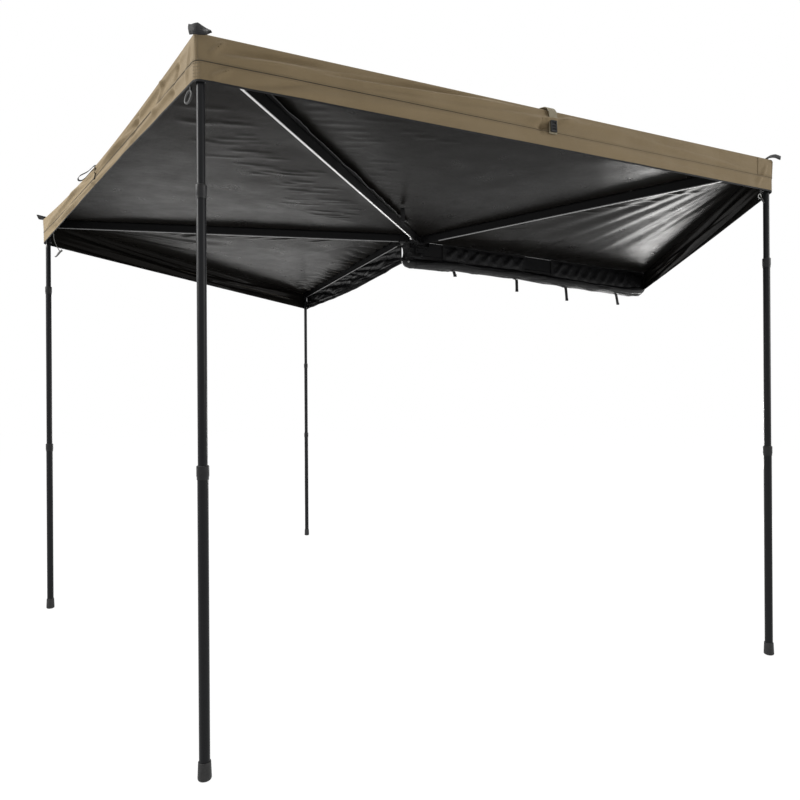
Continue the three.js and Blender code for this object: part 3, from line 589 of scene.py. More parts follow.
def gathered(plan):
    """The zigzag of the cloth that is gathered beside the last arm."""
    out, aside = (plan - PIN["c"]) @ OUT["c"], (plan - PIN["c"]) @ LEFT["c"] - 0.018
    off = np.maximum(aside, 0)
    near = np.exp(-((off / 0.115) ** 2)) * smooth(out / 0.1) * smooth((1.93 - out) / 0.05)
    jag = np.abs(((out / 0.118 + 0.85 * rough_field(out, off, 0.16, 8)) % 1.0) - 0.5) * 2
    fine = 0.5 + 0.5 * rough_field(out * 2.6, off, 0.06, 9)
    return near * (0.020 * jag + 0.008 * fine) * smooth(aside / 0.012)


def roof_panel(key):
    """One panel of the roof, and its width along the free edge."""
    rows, columns = 170, 190
    u, even = np.linspace(0.004, 1, rows), np.linspace(0, 1, columns)
    a, b = edge_point(BEFORE[key], u), edge_point(key, u)
    u, wide = u[:, None], np.linalg.norm(b - a, axis=1)[:, None]
    gap = np.minimum(0.5, 0.0003 / np.maximum(wide, 1e-6))
    share = gap + (1 - 2 * gap) * (smooth(even) * 0.35 + even * 0.65)
    plan = a[:, None] + (b - a)[:, None] * share[..., None]
    x, y = plan[..., 0], plan[..., 1]
    off = np.minimum(share, 1 - share) * wide - SEAM_CLEAR
    sag = 0.024 * smooth(off / 0.6) * np.sin(math.pi * u) ** 0.8
    loose = smooth(off / 0.10) * smooth((1 - u) / 0.035) * smooth(u / 0.12)
    fold = ridges(x, y, ROOF_FOLDS[key])
    soft = 0.0035 * rough_field(x, y, 0.42, 41) + 0.0012 * rough_field(x, y, 0.11, 43)
    if key == "c":
        sag = sag + gathered(plan)
    droop = edge_drop(key, share) * smooth((u - 0.55) / 0.45) ** 2.2
    z = ROOF - CLOTH / 2 + 0.0002 - sag * (1 - 0.4 * smooth((u - 0.8) / 0.2))
    made = Made()
    made.layered(at3(plan, z - droop - (fold + soft) * loose), CLOTH, side=-1.0, inner=1)
    piece = made.object(f"roof_cloth_{key}", f"arm_{key}", "roof_cloth", khaki, ceiling)
    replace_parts(piece, f"roof_panel_{key}")
    return fold_cloth(piece), float(wide[-1, 0])


for key, before in BEFORE.items():
    cloth, width = roof_panel(key)


def roof_seam(key, body, side, shift=0.0):
    """The felled seam over an arm, where two panels of the roof meet."""
    u = np.linspace(0.075, 0.985, 90)
    line = edge_point(key, u)
    lanes = np.array((-0.009, -0.0085, -0.004, 0.0, 0.004, 0.0085, 0.009)) + shift
    rise = np.array((0.0, 0.0010, 0.0013, 0.0013, 0.0013, 0.0010, 0.0))
    wavy = 0.0003 * rough_field(u * 2, u * 0, 0.03, 71)[:, None]
    plan = line[:, None] + side * (lanes[:, None] + 0.0006 * wavy[..., None])
    made = Made()
    made.grid(at3(plan, ROOF + 0.0006 + rise + wavy), flip=key == "e")
    for lane in (-0.0060, 0.0060):
        made.stitches(at3(line + side * (lane + shift), ROOF + 0.0019), UP)
    made.object(f"roof_seam_{key}", body, "roof_cloth", khaki, thread)


roof_seam("e", "backplate_unit", np.array((0.0, -1.0)), 0.010)
for key in ARMS:
    roof_seam(key, f"arm_{key}", LEFT[key])


# Valance: hangs from the roof's edge, turns a rounded corner, and has a seam and a bound hem


def edge_ends(key):
    """Where the valance of an arm starts and ends, and its length."""
    start = VALANCE_START if key == "d" else CORNER[BEFORE[key]]
    return start, CORNER[key], float(np.linalg.norm(CORNER[key] - start))


def corner_turn(first, corner, second):
    """At a corner: the way in along its middle, and the angle from there to each edge."""
    a, b = unit(first - corner), unit(second - corner)
    middle = unit(a + b)
    return middle, math.acos(float(a @ middle))


CORNER_IN = {
    key: corner_turn(CORNER[BEFORE[key]], CORNER[key], CORNER[after])
    for key, after in zip("dab", "abc")
}


def valance_line(key, radius, s):
    """Points in plan along the outer edge and the way they face, with the corners rounded."""
    start, end, long = edge_ends(key)
    run = (end - start) / long
    out = np.array((-run[1], run[0]))
    where = s * long
    plan = start + run * where[:, None]
    facing = np.broadcast_to(out, plan.shape).copy()
    for corner, place, distance in (
        (BEFORE[key], start, where), (key, end, long - where),
    ):
        if corner not in CORNER_IN:
            continue
        middle, angle = CORNER_IN[corner]
        tangent = radius / math.tan(angle)
        inside = distance < tangent
        share = np.clip(distance[inside] / tangent, 0, 1)[:, None]
        total = math.pi / 2 - angle
        turned = unit(np.sin(share * total) * out - np.sin((1 - share) * total) * middle)
        plan[inside] = place + middle * radius / math.sin(angle) + turned * radius
        facing[inside] = turned
    return plan, facing


# Each fold: start along, start down, end along and end down as shares, then width and height
VALANCE_FOLDS = {
    "d": [(0.03, 0.75, 0.75, 0.25, 0.018, 0.014), (0.10, 0.95, 0.90, 0.45, 0.015, -0.013),
          (0.05, 0.45, 0.95, 0.12, 0.016, 0.012), (0.30, 0.95, 0.98, 0.62, 0.015, 0.013),
          (0.45, 0.75, 0.97, 0.30, 0.014, -0.011), (0.02, 0.20, 0.60, 0.60, 0.018, -0.009)],
    "a": [(0.50, 0.06, 0.97, 0.52, 0.020, 0.0105), (0.58, 0.03, 0.92, 0.34, 0.015, -0.0085),
          (0.72, 0.10, 0.99, 0.46, 0.012, 0.0080), (0.33, 0.12, 0.82, 0.54, 0.018, 0.0060),
          (0.83, 0.10, 0.985, 0.28, 0.012, -0.0065), (0.05, 0.50, 0.40, 0.18, 0.016, 0.0042),
          (0.10, 0.92, 0.50, 0.66, 0.020, 0.0034), (0.62, 0.64, 0.93, 0.90, 0.022, 0.0052),
          (0.43, 0.05, 0.54, 0.48, 0.014, 0.0075), (0.86, 0.62, 0.95, 0.95, 0.014, -0.0045),
          (0.46, 0.10, 0.515, 0.60, 0.016, -0.0070), (0.499, 0.20, 0.507, 0.66, 0.015, -0.0100),
          (0.66, 0.30, 0.985, 0.55, 0.012, -0.0055), (0.18, 0.10, 0.36, 0.40, 0.018, -0.0034),
          (0.012, 0.10, 0.045, 0.95, 0.012, 0.0050), (0.955, 0.60, 0.985, 0.95, 0.012, 0.0060),
          (0.965, 0.05, 0.985, 0.45, 0.010, 0.0050)],
    "b": [(0.01, 0.15, 0.45, 0.46, 0.016, 0.0100), (0.03, 0.10, 0.60, 0.30, 0.014, -0.0085),
          (0.02, 0.62, 0.35, 0.95, 0.018, 0.0085), (0.20, 0.52, 0.75, 0.20, 0.016, 0.0080),
          (0.30, 0.92, 0.85, 0.66, 0.018, 0.0080), (0.55, 0.15, 0.99, 0.50, 0.016, 0.0090),
          (0.60, 0.95, 0.98, 0.70, 0.016, -0.0075), (0.45, 0.50, 0.62, 0.10, 0.014, -0.0075),
          (0.015, 0.05, 0.030, 0.95, 0.010, 0.0060), (0.050, 0.05, 0.085, 0.95, 0.012, -0.0065),
          (0.10, 0.05, 0.16, 0.90, 0.014, 0.0060), (0.20, 0.08, 0.29, 0.95, 0.016, -0.0055)],
    "c": [(0.02, 0.22, 0.55, 0.62, 0.018, 0.014), (0.04, 0.45, 0.65, 0.92, 0.016, -0.013),
          (0.10, 0.15, 0.80, 0.40, 0.016, 0.012), (0.40, 0.85, 0.97, 0.50, 0.016, 0.013),
          (0.45, 0.60, 0.98, 0.20, 0.016, -0.012), (0.02, 0.75, 0.35, 0.95, 0.014, 0.010),
          (0.30, 0.30, 0.95, 0.75, 0.014, 0.010)],
}
FOLD_GAIN = {"d": 1.0, "a": 1.5, "b": 1.25, "c": 1.0}
OUTWARD_BULGE = {"d": 0.006, "a": 0.004, "b": 0.006, "c": 0.006}
TOP_RADIUS, HEM_RADIUS_MORE = 0.010, 0.018  # of the valance's rounded corners


def valance_surface(key, s, t, lift=0.0):
    """The valance's outer face at shares along and down it, with the way it faces."""
    long = edge_ends(key)[2]
    folds = [
        (a * long, b * DEPTH, c * long, d * DEPTH, wide, high)
        for a, b, c, d, wide, high in VALANCE_FOLDS[key]
    ]
    free = smooth(s * long / 0.06) * smooth((1 - s) * long / 0.06)
    drop = edge_drop(key, s)
    points, faces = np.zeros((2, len(t), len(s), 3))
    for row, down in enumerate(t):
        plan, facing = valance_line(key, TOP_RADIUS + HEM_RADIUS_MORE * smooth(down / 0.6), s)
        bulge = OUTWARD_BULGE[key] * down * np.sin(math.pi * s)
        wave = FOLD_GAIN[key] * ridges(s * long, down * DEPTH, folds)
        wave = wave + 0.0016 * rough_field(s * long, s * 0 + down * DEPTH * 3, 0.10, 51 + ord(key))
        held = smooth(down / 0.12) * (1 - 0.55 * smooth((down - 0.86) / 0.12))
        seam = 1 - 0.8 * np.exp(-(((down - SEAM_SHARE) / 0.05) ** 2))
        out = lift + (bulge + wave * held * seam) * free
        points[row] = at3(plan + facing * out[:, None], ROOF - drop - (DEPTH - drop) * down)
        faces[row] = at3(facing, 0.0)
    return points, faces


# The rows that turn from the roof over its edge: how far back from it, and how far up
EDGE_ROWS = ((0.016, 0.0012), (0.012, 0.0024), (0.005, 0.0027), (0.0012, 0.0016))


def valance(key):
    s = np.linspace(0, 1, 260)
    bent = np.abs(s - 0.5) * 2
    s = 0.5 + np.sign(s - 0.5) * (1 - (1 - bent) ** 1.25) / 2
    hang, _ = valance_surface(key, s, np.linspace(0.02, 1, 34), lift=0.0012)
    plan, facing = valance_line(key, TOP_RADIUS, s)
    puff = 1 + 0.5 * rough_field(s * 20, s * 0, 1.0, 61 + ord(key))
    top = []
    for back, up in EDGE_ROWS:
        rise = ROOF + 0.0003 + up * (puff if 0.002 < back < 0.014 else 1) - edge_drop(key, s)
        top.append(at3(plan - facing * back, rise))
    top.append(at3(plan + facing * 0.0010, ROOF - 0.0004 - edge_drop(key, s)))
    made = Made()
    made.layered(np.concatenate([top, hang]), CLOTH, side=-1.0, inner=1)
    piece = made.object(f"valance_cloth_{key}", f"arm_{key}", "khaki_cloth", khaki, ceiling)
    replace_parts(piece, f"valance_{key}")
    return fold_cloth(piece), s


# The hem binding's section: shares down the valance, and how far off it on the way down and back
HEM_SHARES = (0.955, 0.96, 0.98, 1.0, 1.006)
HEM_OUT = (0.0012, 0.0022, 0.0024, 0.0023, 0.0012)
HEM_BACK = (0.0010, 0.0001, 0.0, 0.0002, 0.0011)


def valance_trim(key, s):
    """The dark seam, its stitches and the bound hem of a valance. The seam's darkness is partly
    real piping and partly a painted shadow under the upper band's overlapping edge.
    """

    def row(down, lift):
        points, faces = valance_surface(key, s, [down], lift)
        return points[0], faces[0]

    made = Made()
    # The painted seam shadow is drawn wider towards the second arm's corner, where the overlap's
    # shadow is stronger
    bold = 0.0007 + 0.0008 * smooth((s - 0.35) / 0.5) if key == "a" else 0.0013
    made.tube(row(SEAM_SHARE, 0.0021)[0] - (0, 0, 0.0005), bold, 6)
    for down in (SEAM_SHARE - 0.035, SEAM_SHARE + 0.045):
        made.stitches(*row(down, 0.0019))
    seam = made.object(f"valance_seam_{key}", f"arm_{key}", "khaki_cloth", seam_and_shadow, thread)
    made = Made()
    section = [*zip(HEM_SHARES, HEM_OUT), *zip(HEM_SHARES[::-1], HEM_BACK)]
    made.grid(np.stack([row(down, lift)[0] for down, lift in section], 1), wrap=True)
    made.stitches(*row(0.968, 0.0025))
    hem = made.object(f"valance_hem_{key}", f"arm_{key}", "black_cloth", binding, black_thread)
    return [fold_cloth(seam), fold_cloth(hem)]


for key in ARMS:
    cloth, shares = valance(key)
    valance_trim(key, shares)


# Side curtain under the last arm, drawn up in crossing folds

CURTAIN_CUT = 0.300  # where the short end piece begins, metres out from the last arm's pin
CURTAIN_INNER = 0.060  # where that piece ends
CURTAIN_END = INNER["c"] + OUT["c"] * CURTAIN_INNER
CURTAIN_LONG = float(np.linalg.norm(CURTAIN_END - CORNER["c"]))


def curtain_folds():
    long = CURTAIN_LONG
    draw = np.random.default_rng(91)
    folds = []
    for k in range(13):
        a = (k / 13 - 0.1) * long + draw.uniform(-0.04, 0.04)
        lean = draw.uniform(0.35, 0.70)
        folds.append((a, 0.02, a + lean, draw.uniform(0.08, 0.15),
                      draw.uniform(0.011, 0.019), draw.uniform(0.007, 0.013)))
        folds.append((a, draw.uniform(0.08, 0.12), a + lean * 1.3, draw.uniform(0.11, 0.16),
                      draw.uniform(0.005, 0.009), draw.uniform(-0.006, 0.006)))
        if k % 2:
            folds.append((a + 0.4, draw.uniform(0.03, 0.06), a, draw.uniform(0.09, 0.13),
                          draw.uniform(0.010, 0.016), -draw.uniform(0.004, 0.009)))
    return folds


def curtain_surface(first, last, columns):
    """The curtain between two shares of its length, from the last arm's tip to the hub."""
    run = (CURTAIN_END - CORNER["c"]) / CURTAIN_LONG
    out = np.array((-run[1], run[0]))
    s, down = np.meshgrid(np.linspace(first, last, columns), np.linspace(0, 1, 46))
    along = s * CURTAIN_LONG
    drop = (DEPTH + np.interp(s, [0, 0.5, 0.86, 1.0], [0.0, 0.030, 0.017, 0.012])) * down
    wave = ridges(along, drop, curtain_folds())
    wave = np.maximum(wave + 0.0030 * rough_field(along, drop * 3, 0.10, 93), -0.0060)
    wave = wave * (1 - 0.5 * smooth((down - 0.9) / 0.1))
    free = smooth(s / 0.04) * smooth((1 - s) / 0.03) * smooth(down / 0.15)
    shift = 0.0012 + (0.006 * np.sin(math.pi * down) + wave) * free
    wander = 0.006 * rough_field(along, s * 0, 0.12, 97) * down
    plan = CORNER["c"] + run * along[..., None] + out * shift[..., None]
    return at3(plan, ROOF - 0.0005 - drop + wander)


def side_curtain(name, first, last, columns, beside=0.0):
    points = curtain_surface(first, last, columns)
    points[..., 0] += beside
    made = Made()
    made.layered(points, CLOTH)
    made.tube(points[-1] + (0, 0, 0.001), 0.0032, slot=1, squeeze=0.75)
    piece = made.object(name, "arm_c", "black_cloth", black_cloth, webbing)
    return piece


cut = 1 - (CURTAIN_CUT - CURTAIN_INNER) / CURTAIN_LONG
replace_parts(side_curtain("side_curtain_cloth", 0.0, cut, 250), "side_curtain")
lift_for_leg(side_curtain("side_curtain_end", cut - 0.012, 1.0, 60, 0.0016))


# Travel bag on the backplate: two flaps, the rolled part below them, and strap tails

FLAPS = ((0.2250, 0.8950), (1.1300, 2.0563))
FLAP_TOP = 2.1838
BAG_END = 2.0633
BAG_START = -0.070  # the end that is wrapped round the hub side
ROLL_GIRTH = 0.026  # metres of cloth per radian round the roll


def flap_low(x):
    return np.interp(x, [0.2, 0.9, 1.13, 1.6, 2.06], [2.076, 2.072, 2.056, 2.040, 2.036])


def roll_low(x):
    """The height of the roll's lower edge along the backplate."""
    return np.interp(
        x,
        [BAG_START, -0.02, 0.05, 0.28, 0.68, 0.82, 1.26, 1.75, 1.91, 2.0, BAG_END],
        [2.022, 2.008, 2.010, 2.023, 2.0195, 2.0196, 2.003, 1.998, 1.996, 2.006, 2.030],
    )


def bag_piece(made, name, *materials):
    return made.object(name, "backplate_unit", "black_cloth", *materials)


def bag_flap(number, start, end):
    x, down = np.meshgrid(np.linspace(start, end, 190), np.linspace(0, 1, 34))
    draw = np.random.default_rng(100 + number)
    deep = FLAP_TOP - float(flap_low((start + end) / 2))
    folds = []
    for k in range(int((end - start) / 0.092)):
        at = start + 0.02 + 0.092 * k
        folds.append((at + 0.085, 0.01, at, deep - 0.01,
                      draw.uniform(0.018, 0.028), draw.uniform(0.007, 0.013)))
    low = flap_low(x)
    high = FLAP_TOP - (FLAP_TOP - low) * down
    inside = smooth((x - start) / 0.03) * smooth((end - x) / 0.03)
    inside = inside * smooth((FLAP_TOP - high) / 0.025) * smooth((high - low) / 0.025)
    puff = 0.003 + ridges(x, down * deep, folds) + 0.0022 * rough_field(x, down * deep, 0.05, 103)
    droop = 0.006 * np.sin(math.pi * (x - start) / (end - start)) * down
    points = np.stack([x, BAG_FACE - 0.0042 - puff * inside, high - droop], -1)
    made, trim = Made(), Made()
    made.layered(points, 0.003, side=-1.0)
    edge = border(points)
    trim.tube(np.concatenate([edge, edge[:1]]) - (0, 0.0008, 0), 0.0022, up=(0, 1, 0))
    trim.stitches(border(points[3:-3, 3:-3]) - (0, 0.0017, 0), (0, -1, 0))
    flap = bag_piece(made, f"bag_flap_{number}", black_cloth)
    trim = bag_piece(trim, f"bag_flap_trim_{number}", webbing, black_thread)


def bag_back():
    """The bag's back, sewn along the backplate, that joins the flaps to the rolled part."""
    rows = 16
    x, row = np.meshgrid(np.linspace(0.0253, 2.0563, 260), np.arange(rows))
    high = 2.0980 - 0.0600 * row / (rows - 1)
    out = 0.0015 + 0.0030 * (1 + rough_field(x, high * 2, 0.07, 111)) * row / rows
    made = Made()
    made.layered(np.stack([x, BAG_FACE - out, high], -1), 0.002, side=-1.0)
    piece = bag_piece(made, "bag_back", black_cloth)


def add_roll(made, whole):
    """The bag's body, rolled up under the backplate in a long loose roll with puckers."""
    x = np.linspace(0.0153, BAG_END, 560) if whole else np.linspace(BAG_START, 0.024, 44)
    gx, ga = np.meshgrid(x, np.linspace(0, 2 * math.pi, 56, endpoint=False), indexing="ij")
    mean = 0.0285 + 0.0016 * rough_field(x, x * 0, 0.35, 121)
    ends = np.clip((BAG_END - x) / 0.075, 0, 1) ** 0.7 * np.clip((x - BAG_START) / 0.022, 0, 1)
    round_end = np.sqrt(np.maximum(1 - (1 - ends) ** 2, 0.02))
    if not whole:
        round_end = round_end * np.clip(0.93 + 0.07 * (0.024 - x) / 0.03, 0.93, 1.0)
    folds = []
    draw = np.random.default_rng(123)
    for _ in range(120):
        a, b = draw.uniform(-0.1, 2.06), draw.uniform(-0.02, 0.18)
        folds.append((a, b, a + draw.uniform(0.12, 0.50), b + draw.uniform(-0.04, 0.04),
                      draw.uniform(0.004, 0.008), draw.uniform(-0.0060, 0.0060)))
    bumps = sum(ridges(gx, (ga + 2 * math.pi * k) * ROLL_GIRTH, folds) for k in (0, -1, 1))
    lap = 0.0032 * (((ga - 0.9 - 0.8 * np.sin(gx * 2.1)) / (2 * math.pi)) % 1.0)
    radius = (mean * round_end)[:, None] + (bumps + lap) * ends[:, None]
    middle = (roll_low(x) + mean * 1.08)[:, None] + 0.0012 * np.sin(gx * 23.0 + 1)
    y = np.maximum(-0.0761 + radius * np.cos(ga) * 0.98, -0.1050)
    z = middle + radius * np.sin(ga) * np.where(np.sin(ga) > 0, 0.94, 1.08)
    points = np.stack([gx, y, z], -1)
    made.grid(points, wrap=True)
    made.caps(points)


def bag_roll():
    made = Made()
    add_roll(made, whole=True)
    piece = bag_piece(made, "bag_roll", black_cloth)
    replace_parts(piece, "travel_bag")


def bag_end_flap():
    """The bag's end, wrapped round the hub side of the backplate."""
    down = np.linspace(0, 1, 34)[:, None]
    high = 2.1945 - 0.142 * down
    left = np.interp(high, [2.052, 2.070, 2.082, 2.105, 2.128, 2.140, 2.184],
                     [-0.0700, -0.0690, -0.0620, -0.0590, -0.0610, -0.0670, -0.0730])
    x = left + (0.0700 - left) * np.linspace(0, 1, 44)
    high = high + x * 0
    curl = 0.5 * (1 + np.cos(math.pi * np.clip((x - left) / 0.026, 0, 1)))
    bulge = 0.008 * smooth((2.140 - high) / 0.03) + 0.003 * rough_field(x * 2, down, 0.05, 141)
    y = BAG_FACE - 0.003 - bulge * (1 - curl) + 0.016 * curl
    y = np.where((x > -0.014) & (high > 2.108), BAG_FACE + 0.004, y)
    z = np.where(x > 0.012, np.minimum(high, 2.1850), high)
    made = Made()
    made.layered(np.stack([x, y, z], -1), 0.003, side=-1.0)
    add_roll(made, whole=False)
    piece = bag_piece(made, "bag_end_flap", black_cloth)
    lift_for_leg(piece)


def bag_end_bolt():
    turn = np.arange(12) * 2 * math.pi / 12
    rings = [
        np.stack([-0.0430 + reach * np.cos(turn), turn * 0 - 0.1020 - proud,
                  2.0420 + reach * np.sin(turn)], -1)
        for reach, proud in ((0.0075, 0.0), (0.0075, 0.0030), (0.0050, 0.0050), (0.0012, 0.0056))
    ]
    made = Made()
    made.grid(np.array(rings), wrap=True, flip=True)
    lift_for_leg(made.object("bag_end_bolt", "backplate_unit", "steel", steel))


def strap_path(points, steps):
    """A smooth path through a few points."""
    points = np.asarray(points, float)
    along = distances(points)
    path = resampled(points, along, np.linspace(0, along[-1], steps))
    for _ in range(3):
        path[1:-1] = path[1:-1] * 0.5 + (path[:-2] + path[2:]) * 0.25
    return path


def route(start, axes, places, steps):
    """A smooth path through places that are given along some directions from a start."""
    return strap_path(start + np.array(places) @ np.array(axes), steps)


def strap(made, path, wide, thick, across, slot=0):
    """Flat webbing along a path, with its width along one direction at each point."""
    across = unit(np.broadcast_to(np.asarray(across, float), path.shape))
    lanes = np.array((-0.5, -0.46, -0.2, 0.0, 0.2, 0.46, 0.5)) * wide
    made.layered(path[:, None] + across[:, None] * lanes[:, None], thick, slot=slot)


# Each tail: where along the backplate it leaves the roll, where its end is, and its end's height
TAILS = ((0.303, 0.316, 1.9836), (0.815, 0.821, 1.9285), (1.256, 1.273, 1.9019),
         (1.752, 1.781, 1.9117))


def bag_tail(number, x, to, low):
    top = float(roll_low(x))
    path = strap_path([
        (x, -0.0560, top + 0.034), (x, -0.0480, top + 0.010), (x, -0.0640, top - 0.0015),
        (x + (to - x) * 0.2, -0.0790, top - 0.0030),
        (x + (to - x) * 0.3, -0.0810, top - 0.010),
        (x + (to - x) * 0.7, -0.0800, (top - 0.010) * 0.45 + low * 0.55),
        (to, -0.0775, low + 0.002),
    ], 40)
    axes = np.array([(0.94, -0.34, 0), (0.34, 0.94, 0), UP])
    made = Made()
    strap(made, path, 0.020, 0.0022, axes[0])
    made.box(path[-1] + (0, -0.0006, 0.008), axes, (0.021, 0.0042, 0.016))
    for dz in (0.004, 0.012):
        row = [path[-1] + axes[0] * d - axes[1] * 0.0030 + UP * dz for d in (-0.008, 0.008)]
        made.stitches(row, -axes[1], **TIGHT)
    made.object(f"bag_tail_{number}", "backplate_unit", "webbing", webbing, black_thread)


for number, ends in enumerate(FLAPS, 1):
    bag_flap(number, *ends)
bag_back()
bag_roll()
bag_end_flap()
bag_end_bolt()
for number, places in enumerate(TAILS, 1):
    bag_tail(number, *places)


# Trim: webbing tabs on the corners, straps with ladder buckles, rings and hooks

# Out along the arm from the roof's corner, and up
TABS = {
    "b": ((-0.045, 0.003), (-0.010, 0.006), (0.010, 0.010), (0.030, 0.014)),
    "d": ((-0.058, 0.003), (-0.030, 0.012), (-0.008, 0.020), (0.012, 0.018), (0.032, 0.004)),
}


def corner_tab(key, tilt):
    """Doubled webbing that stands out from the roof's corner."""
    out, side = in3(OUT[key]), in3(LEFT[key])
    over = (*CORNER[key], ROOF) + np.array(TABS[key]) @ np.array([out, UP])
    tip = over[-1] + out * 0.0016 - UP * 0.0016
    path = strap_path([*over, tip, *(over[:0:-1] - UP * 0.0032)], 70)
    across = side + UP * tilt * np.sin(math.pi * np.linspace(0, 1, len(path)))[:, None]
    made = Made()
    strap(made, path, 0.030, 0.0018, across)
    for step in (8, 17):
        row = [path[step] + side * d + UP * 0.0014 for d in (-0.011, 0.011)]
        made.stitches(row, UP, **TIGHT)
    made.object(f"corner_tab_{key}", f"arm_{key}", "webbing", webbing, black_thread)


def upright_tab():
    """The second arm's tab: doubled webbing sewn across the corner, which stands on its edge."""
    out, side = in3(OUT["a"]), in3(LEFT["a"])
    place, up = np.meshgrid(np.linspace(-0.0110, 0.0640, 44), np.linspace(0, 1, 14))
    low = np.interp(place, [-0.011, 0.014, 0.064], [-0.0090, -0.0135, -0.0165])
    high = np.interp(place, [-0.011, -0.001, 0.019, 0.064], [0.0190, 0.0155, 0.0185, -0.0145])
    reach = 0.008 + 0.009 * smooth((0.025 - place) / 0.04) + 0.003 * np.sin(place * 120)
    lean = reach - 0.004 * (1 - up) + 0.004 * np.sin(math.pi * up)
    shifts = np.stack([place, lean, low + (high - low) * up], -1)
    points = (*CORNER["a"], ROOF) + shifts @ np.array([side, out, UP])
    made = Made()
    made.layered(points, 0.0026)
    made.stitches(points[3] + out * 0.0016, out, **TIGHT)
    made.object("corner_tab_a", "arm_a", "webbing", black_cloth, black_thread)


def corner_patch():
    """The reinforcing patch on the front valance beside the first arm's corner."""
    s = np.linspace(0.012, 0.097, 26) / edge_ends("a")[2]
    points, faces = valance_surface("a", s, np.linspace(0.02, SEAM_SHARE - 0.02, 12), 0.0024)
    made = Made()
    made.layered(points, 0.0010, side=-1.0)
    for row, out in ((points[:, -2], faces[:, -2]), (points[-2], faces[-2])):
        made.stitches(row + out * 0.0008, out)
    piece = made.object("corner_patch_d", "arm_a", "khaki_cloth", khaki, thread)
    fold_cloth(piece)


def corner_seam(key):
    """The upright seam at a corner, with its stitches and the bar tacks below the piping."""

    def upright(shares, lift):
        """Points and facings down the corner."""
        points, faces = valance_surface(key, np.array((0.9994, 1.0)), shares, lift)
        return points[:, -1], faces[:, -1]

    made = Made()
    line, facing = upright(np.linspace(0.03, SEAM_SHARE, 12), 0.0022)
    run = np.cross(UP, facing)
    lanes = np.array((-0.004, -0.0035, 0.0, 0.0035, 0.004))[:, None]
    rise = np.array((-0.0012, 0.0, 0.0005, 0.0, -0.0012))[:, None]
    made.layered(line[:, None] + run[:, None] * lanes + facing[:, None] * rise, 0.0008)
    for lane in (-0.0024, 0.0062):
        made.stitches(line + run * lane + facing * 0.0008, facing)
    for at, face in zip(*upright(np.linspace(SEAM_SHARE + 0.06, 0.90, 5), 0.0019)):
        across = np.cross(UP, face)
        for lane in (-0.009, 0.0, 0.009):
            dash = [at + across * (lane - 0.0032), at + across * (lane + 0.0032)]
            made.stitches(dash, face, length=0.0058, gap=0.0004, wide=0.0016)
    made.object(f"corner_seam_{key}", f"arm_{key}", "khaki_cloth", khaki, thread)


def ring(made, centre, across, up, wide, high, wire, slot):
    """An oval ring of wire."""
    angle = np.linspace(0, 2 * math.pi, 44)[:, None]
    bend = np.sign(np.cos(angle)) * np.abs(np.cos(angle)) ** 0.8
    path = centre + across * bend * wide / 2 + up * np.sin(angle) * high / 2
    normal = np.cross(across, up)
    side = np.gradient(path, axis=0)
    side[0] = side[-1] = path[1] - path[-2]
    out = np.cross(unit(side), normal)
    turn = (np.arange(10) * 2 * math.pi / 10)[:, None]
    section = out[:, None] * np.cos(turn) + normal * np.sin(turn)
    made.grid(path[:, None] + wire * section, slot, wrap=True)


def hem_point(key, place):
    """A point under the hem of a valance, so far back from its end, or on from its start."""
    long = edge_ends(key)[2]
    share = 1 - place / long if place > 0 else -place / long
    spot, face = valance_surface(key, np.array((share, share)), [1.0], -0.0006)
    return spot[0, 0], face[0, 0]


def fitting_ring_a(made, at):
    """The tall ring near the second arm's corner, with its cord loop inside."""
    turned = unit(np.array((0.70, -0.66, -0.28)))
    lean = np.array((0.34, -0.17, 0.925))
    lean = unit(lean - turned * (lean @ turned))
    middle = at + (-0.0045, 0.002, -0.033)
    ring(made, middle, turned, lean, 0.0175, 0.040, 0.0027, 3)
    ring(made, middle - lean * 0.002, turned, lean, 0.0080, 0.028, 0.0012, 2)


def fitting_hook_d(made, at, along, face):
    """The ring and hook near the first arm's corner."""
    middle = at + along * -0.008 + (0, 0, -0.030)
    ring(made, middle, along, UP, 0.017, 0.018, 0.0019, 1)
    hook = route(middle, [along, UP], [(0.004, -0.004), (0.014, -0.012), (0.028, -0.026)], 20)
    made.tube(hook, np.linspace(0.0042, 0.0026, 20), slot=2, up=face)


def corner_fitting(key, valance_key, place):
    """A loop of webbing under the hem, and the ring or hook that it holds."""
    at, face = hem_point(valance_key, place)
    along = np.cross(UP, face)
    made = Made()
    held = route(at, [face, UP], [
        (0, 0.012), (0, -0.004), (0, -0.016), (-0.003, -0.017), (-0.003, -0.003),
    ], 26)
    strap(made, held, 0.010, 0.0012, along)
    if key == "a":
        fitting_ring_a(made, at)
    elif key == "d":
        fitting_hook_d(made, at, along, face)
    else:
        ring(made, at + (0, 0, -0.024), along, UP, 0.014, 0.016, 0.0016, 1)
    piece = made.object(f"corner_fitting_{key}", f"arm_{key}", "webbing",
                        webbing, steel, lock_plastic, lock_grey)
    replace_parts(piece, f"corner_hook_{key}")


def elastic_cord():
    """A short elastic cord that hangs from the left hem, with a hook on its end."""
    at, face = hem_point("b", 0.262)
    top = at + (0, 0, -0.001) - face * 0.0015
    path = route(top, [RIGHT, -UP], [
        (0, 0), (0.001, 0.020), (0.006, 0.045), (0.018, 0.072), (0.032, 0.096),
    ], 18)
    made = Made()
    made.tube(path, 0.0021, up=face)
    cord = made.object("elastic_cord_b", "arm_b", "webbing", cord_cover)
    made = Made()
    hook = route(path[-1], [RIGHT, -UP], [
        (0.012, -0.006), (0.001, 0.002), (-0.010, 0.016), (-0.022, 0.030), (-0.026, 0.026),
    ], 24)
    made.tube(hook, [0.0055] * 12 + list(np.linspace(0.0052, 0.0026, 12)), up=face)
    hook = made.object("elastic_hook_b", "arm_b", "lock_plastic", lock_grey)
    for piece in (cord, hook):
        fold_cloth(piece)


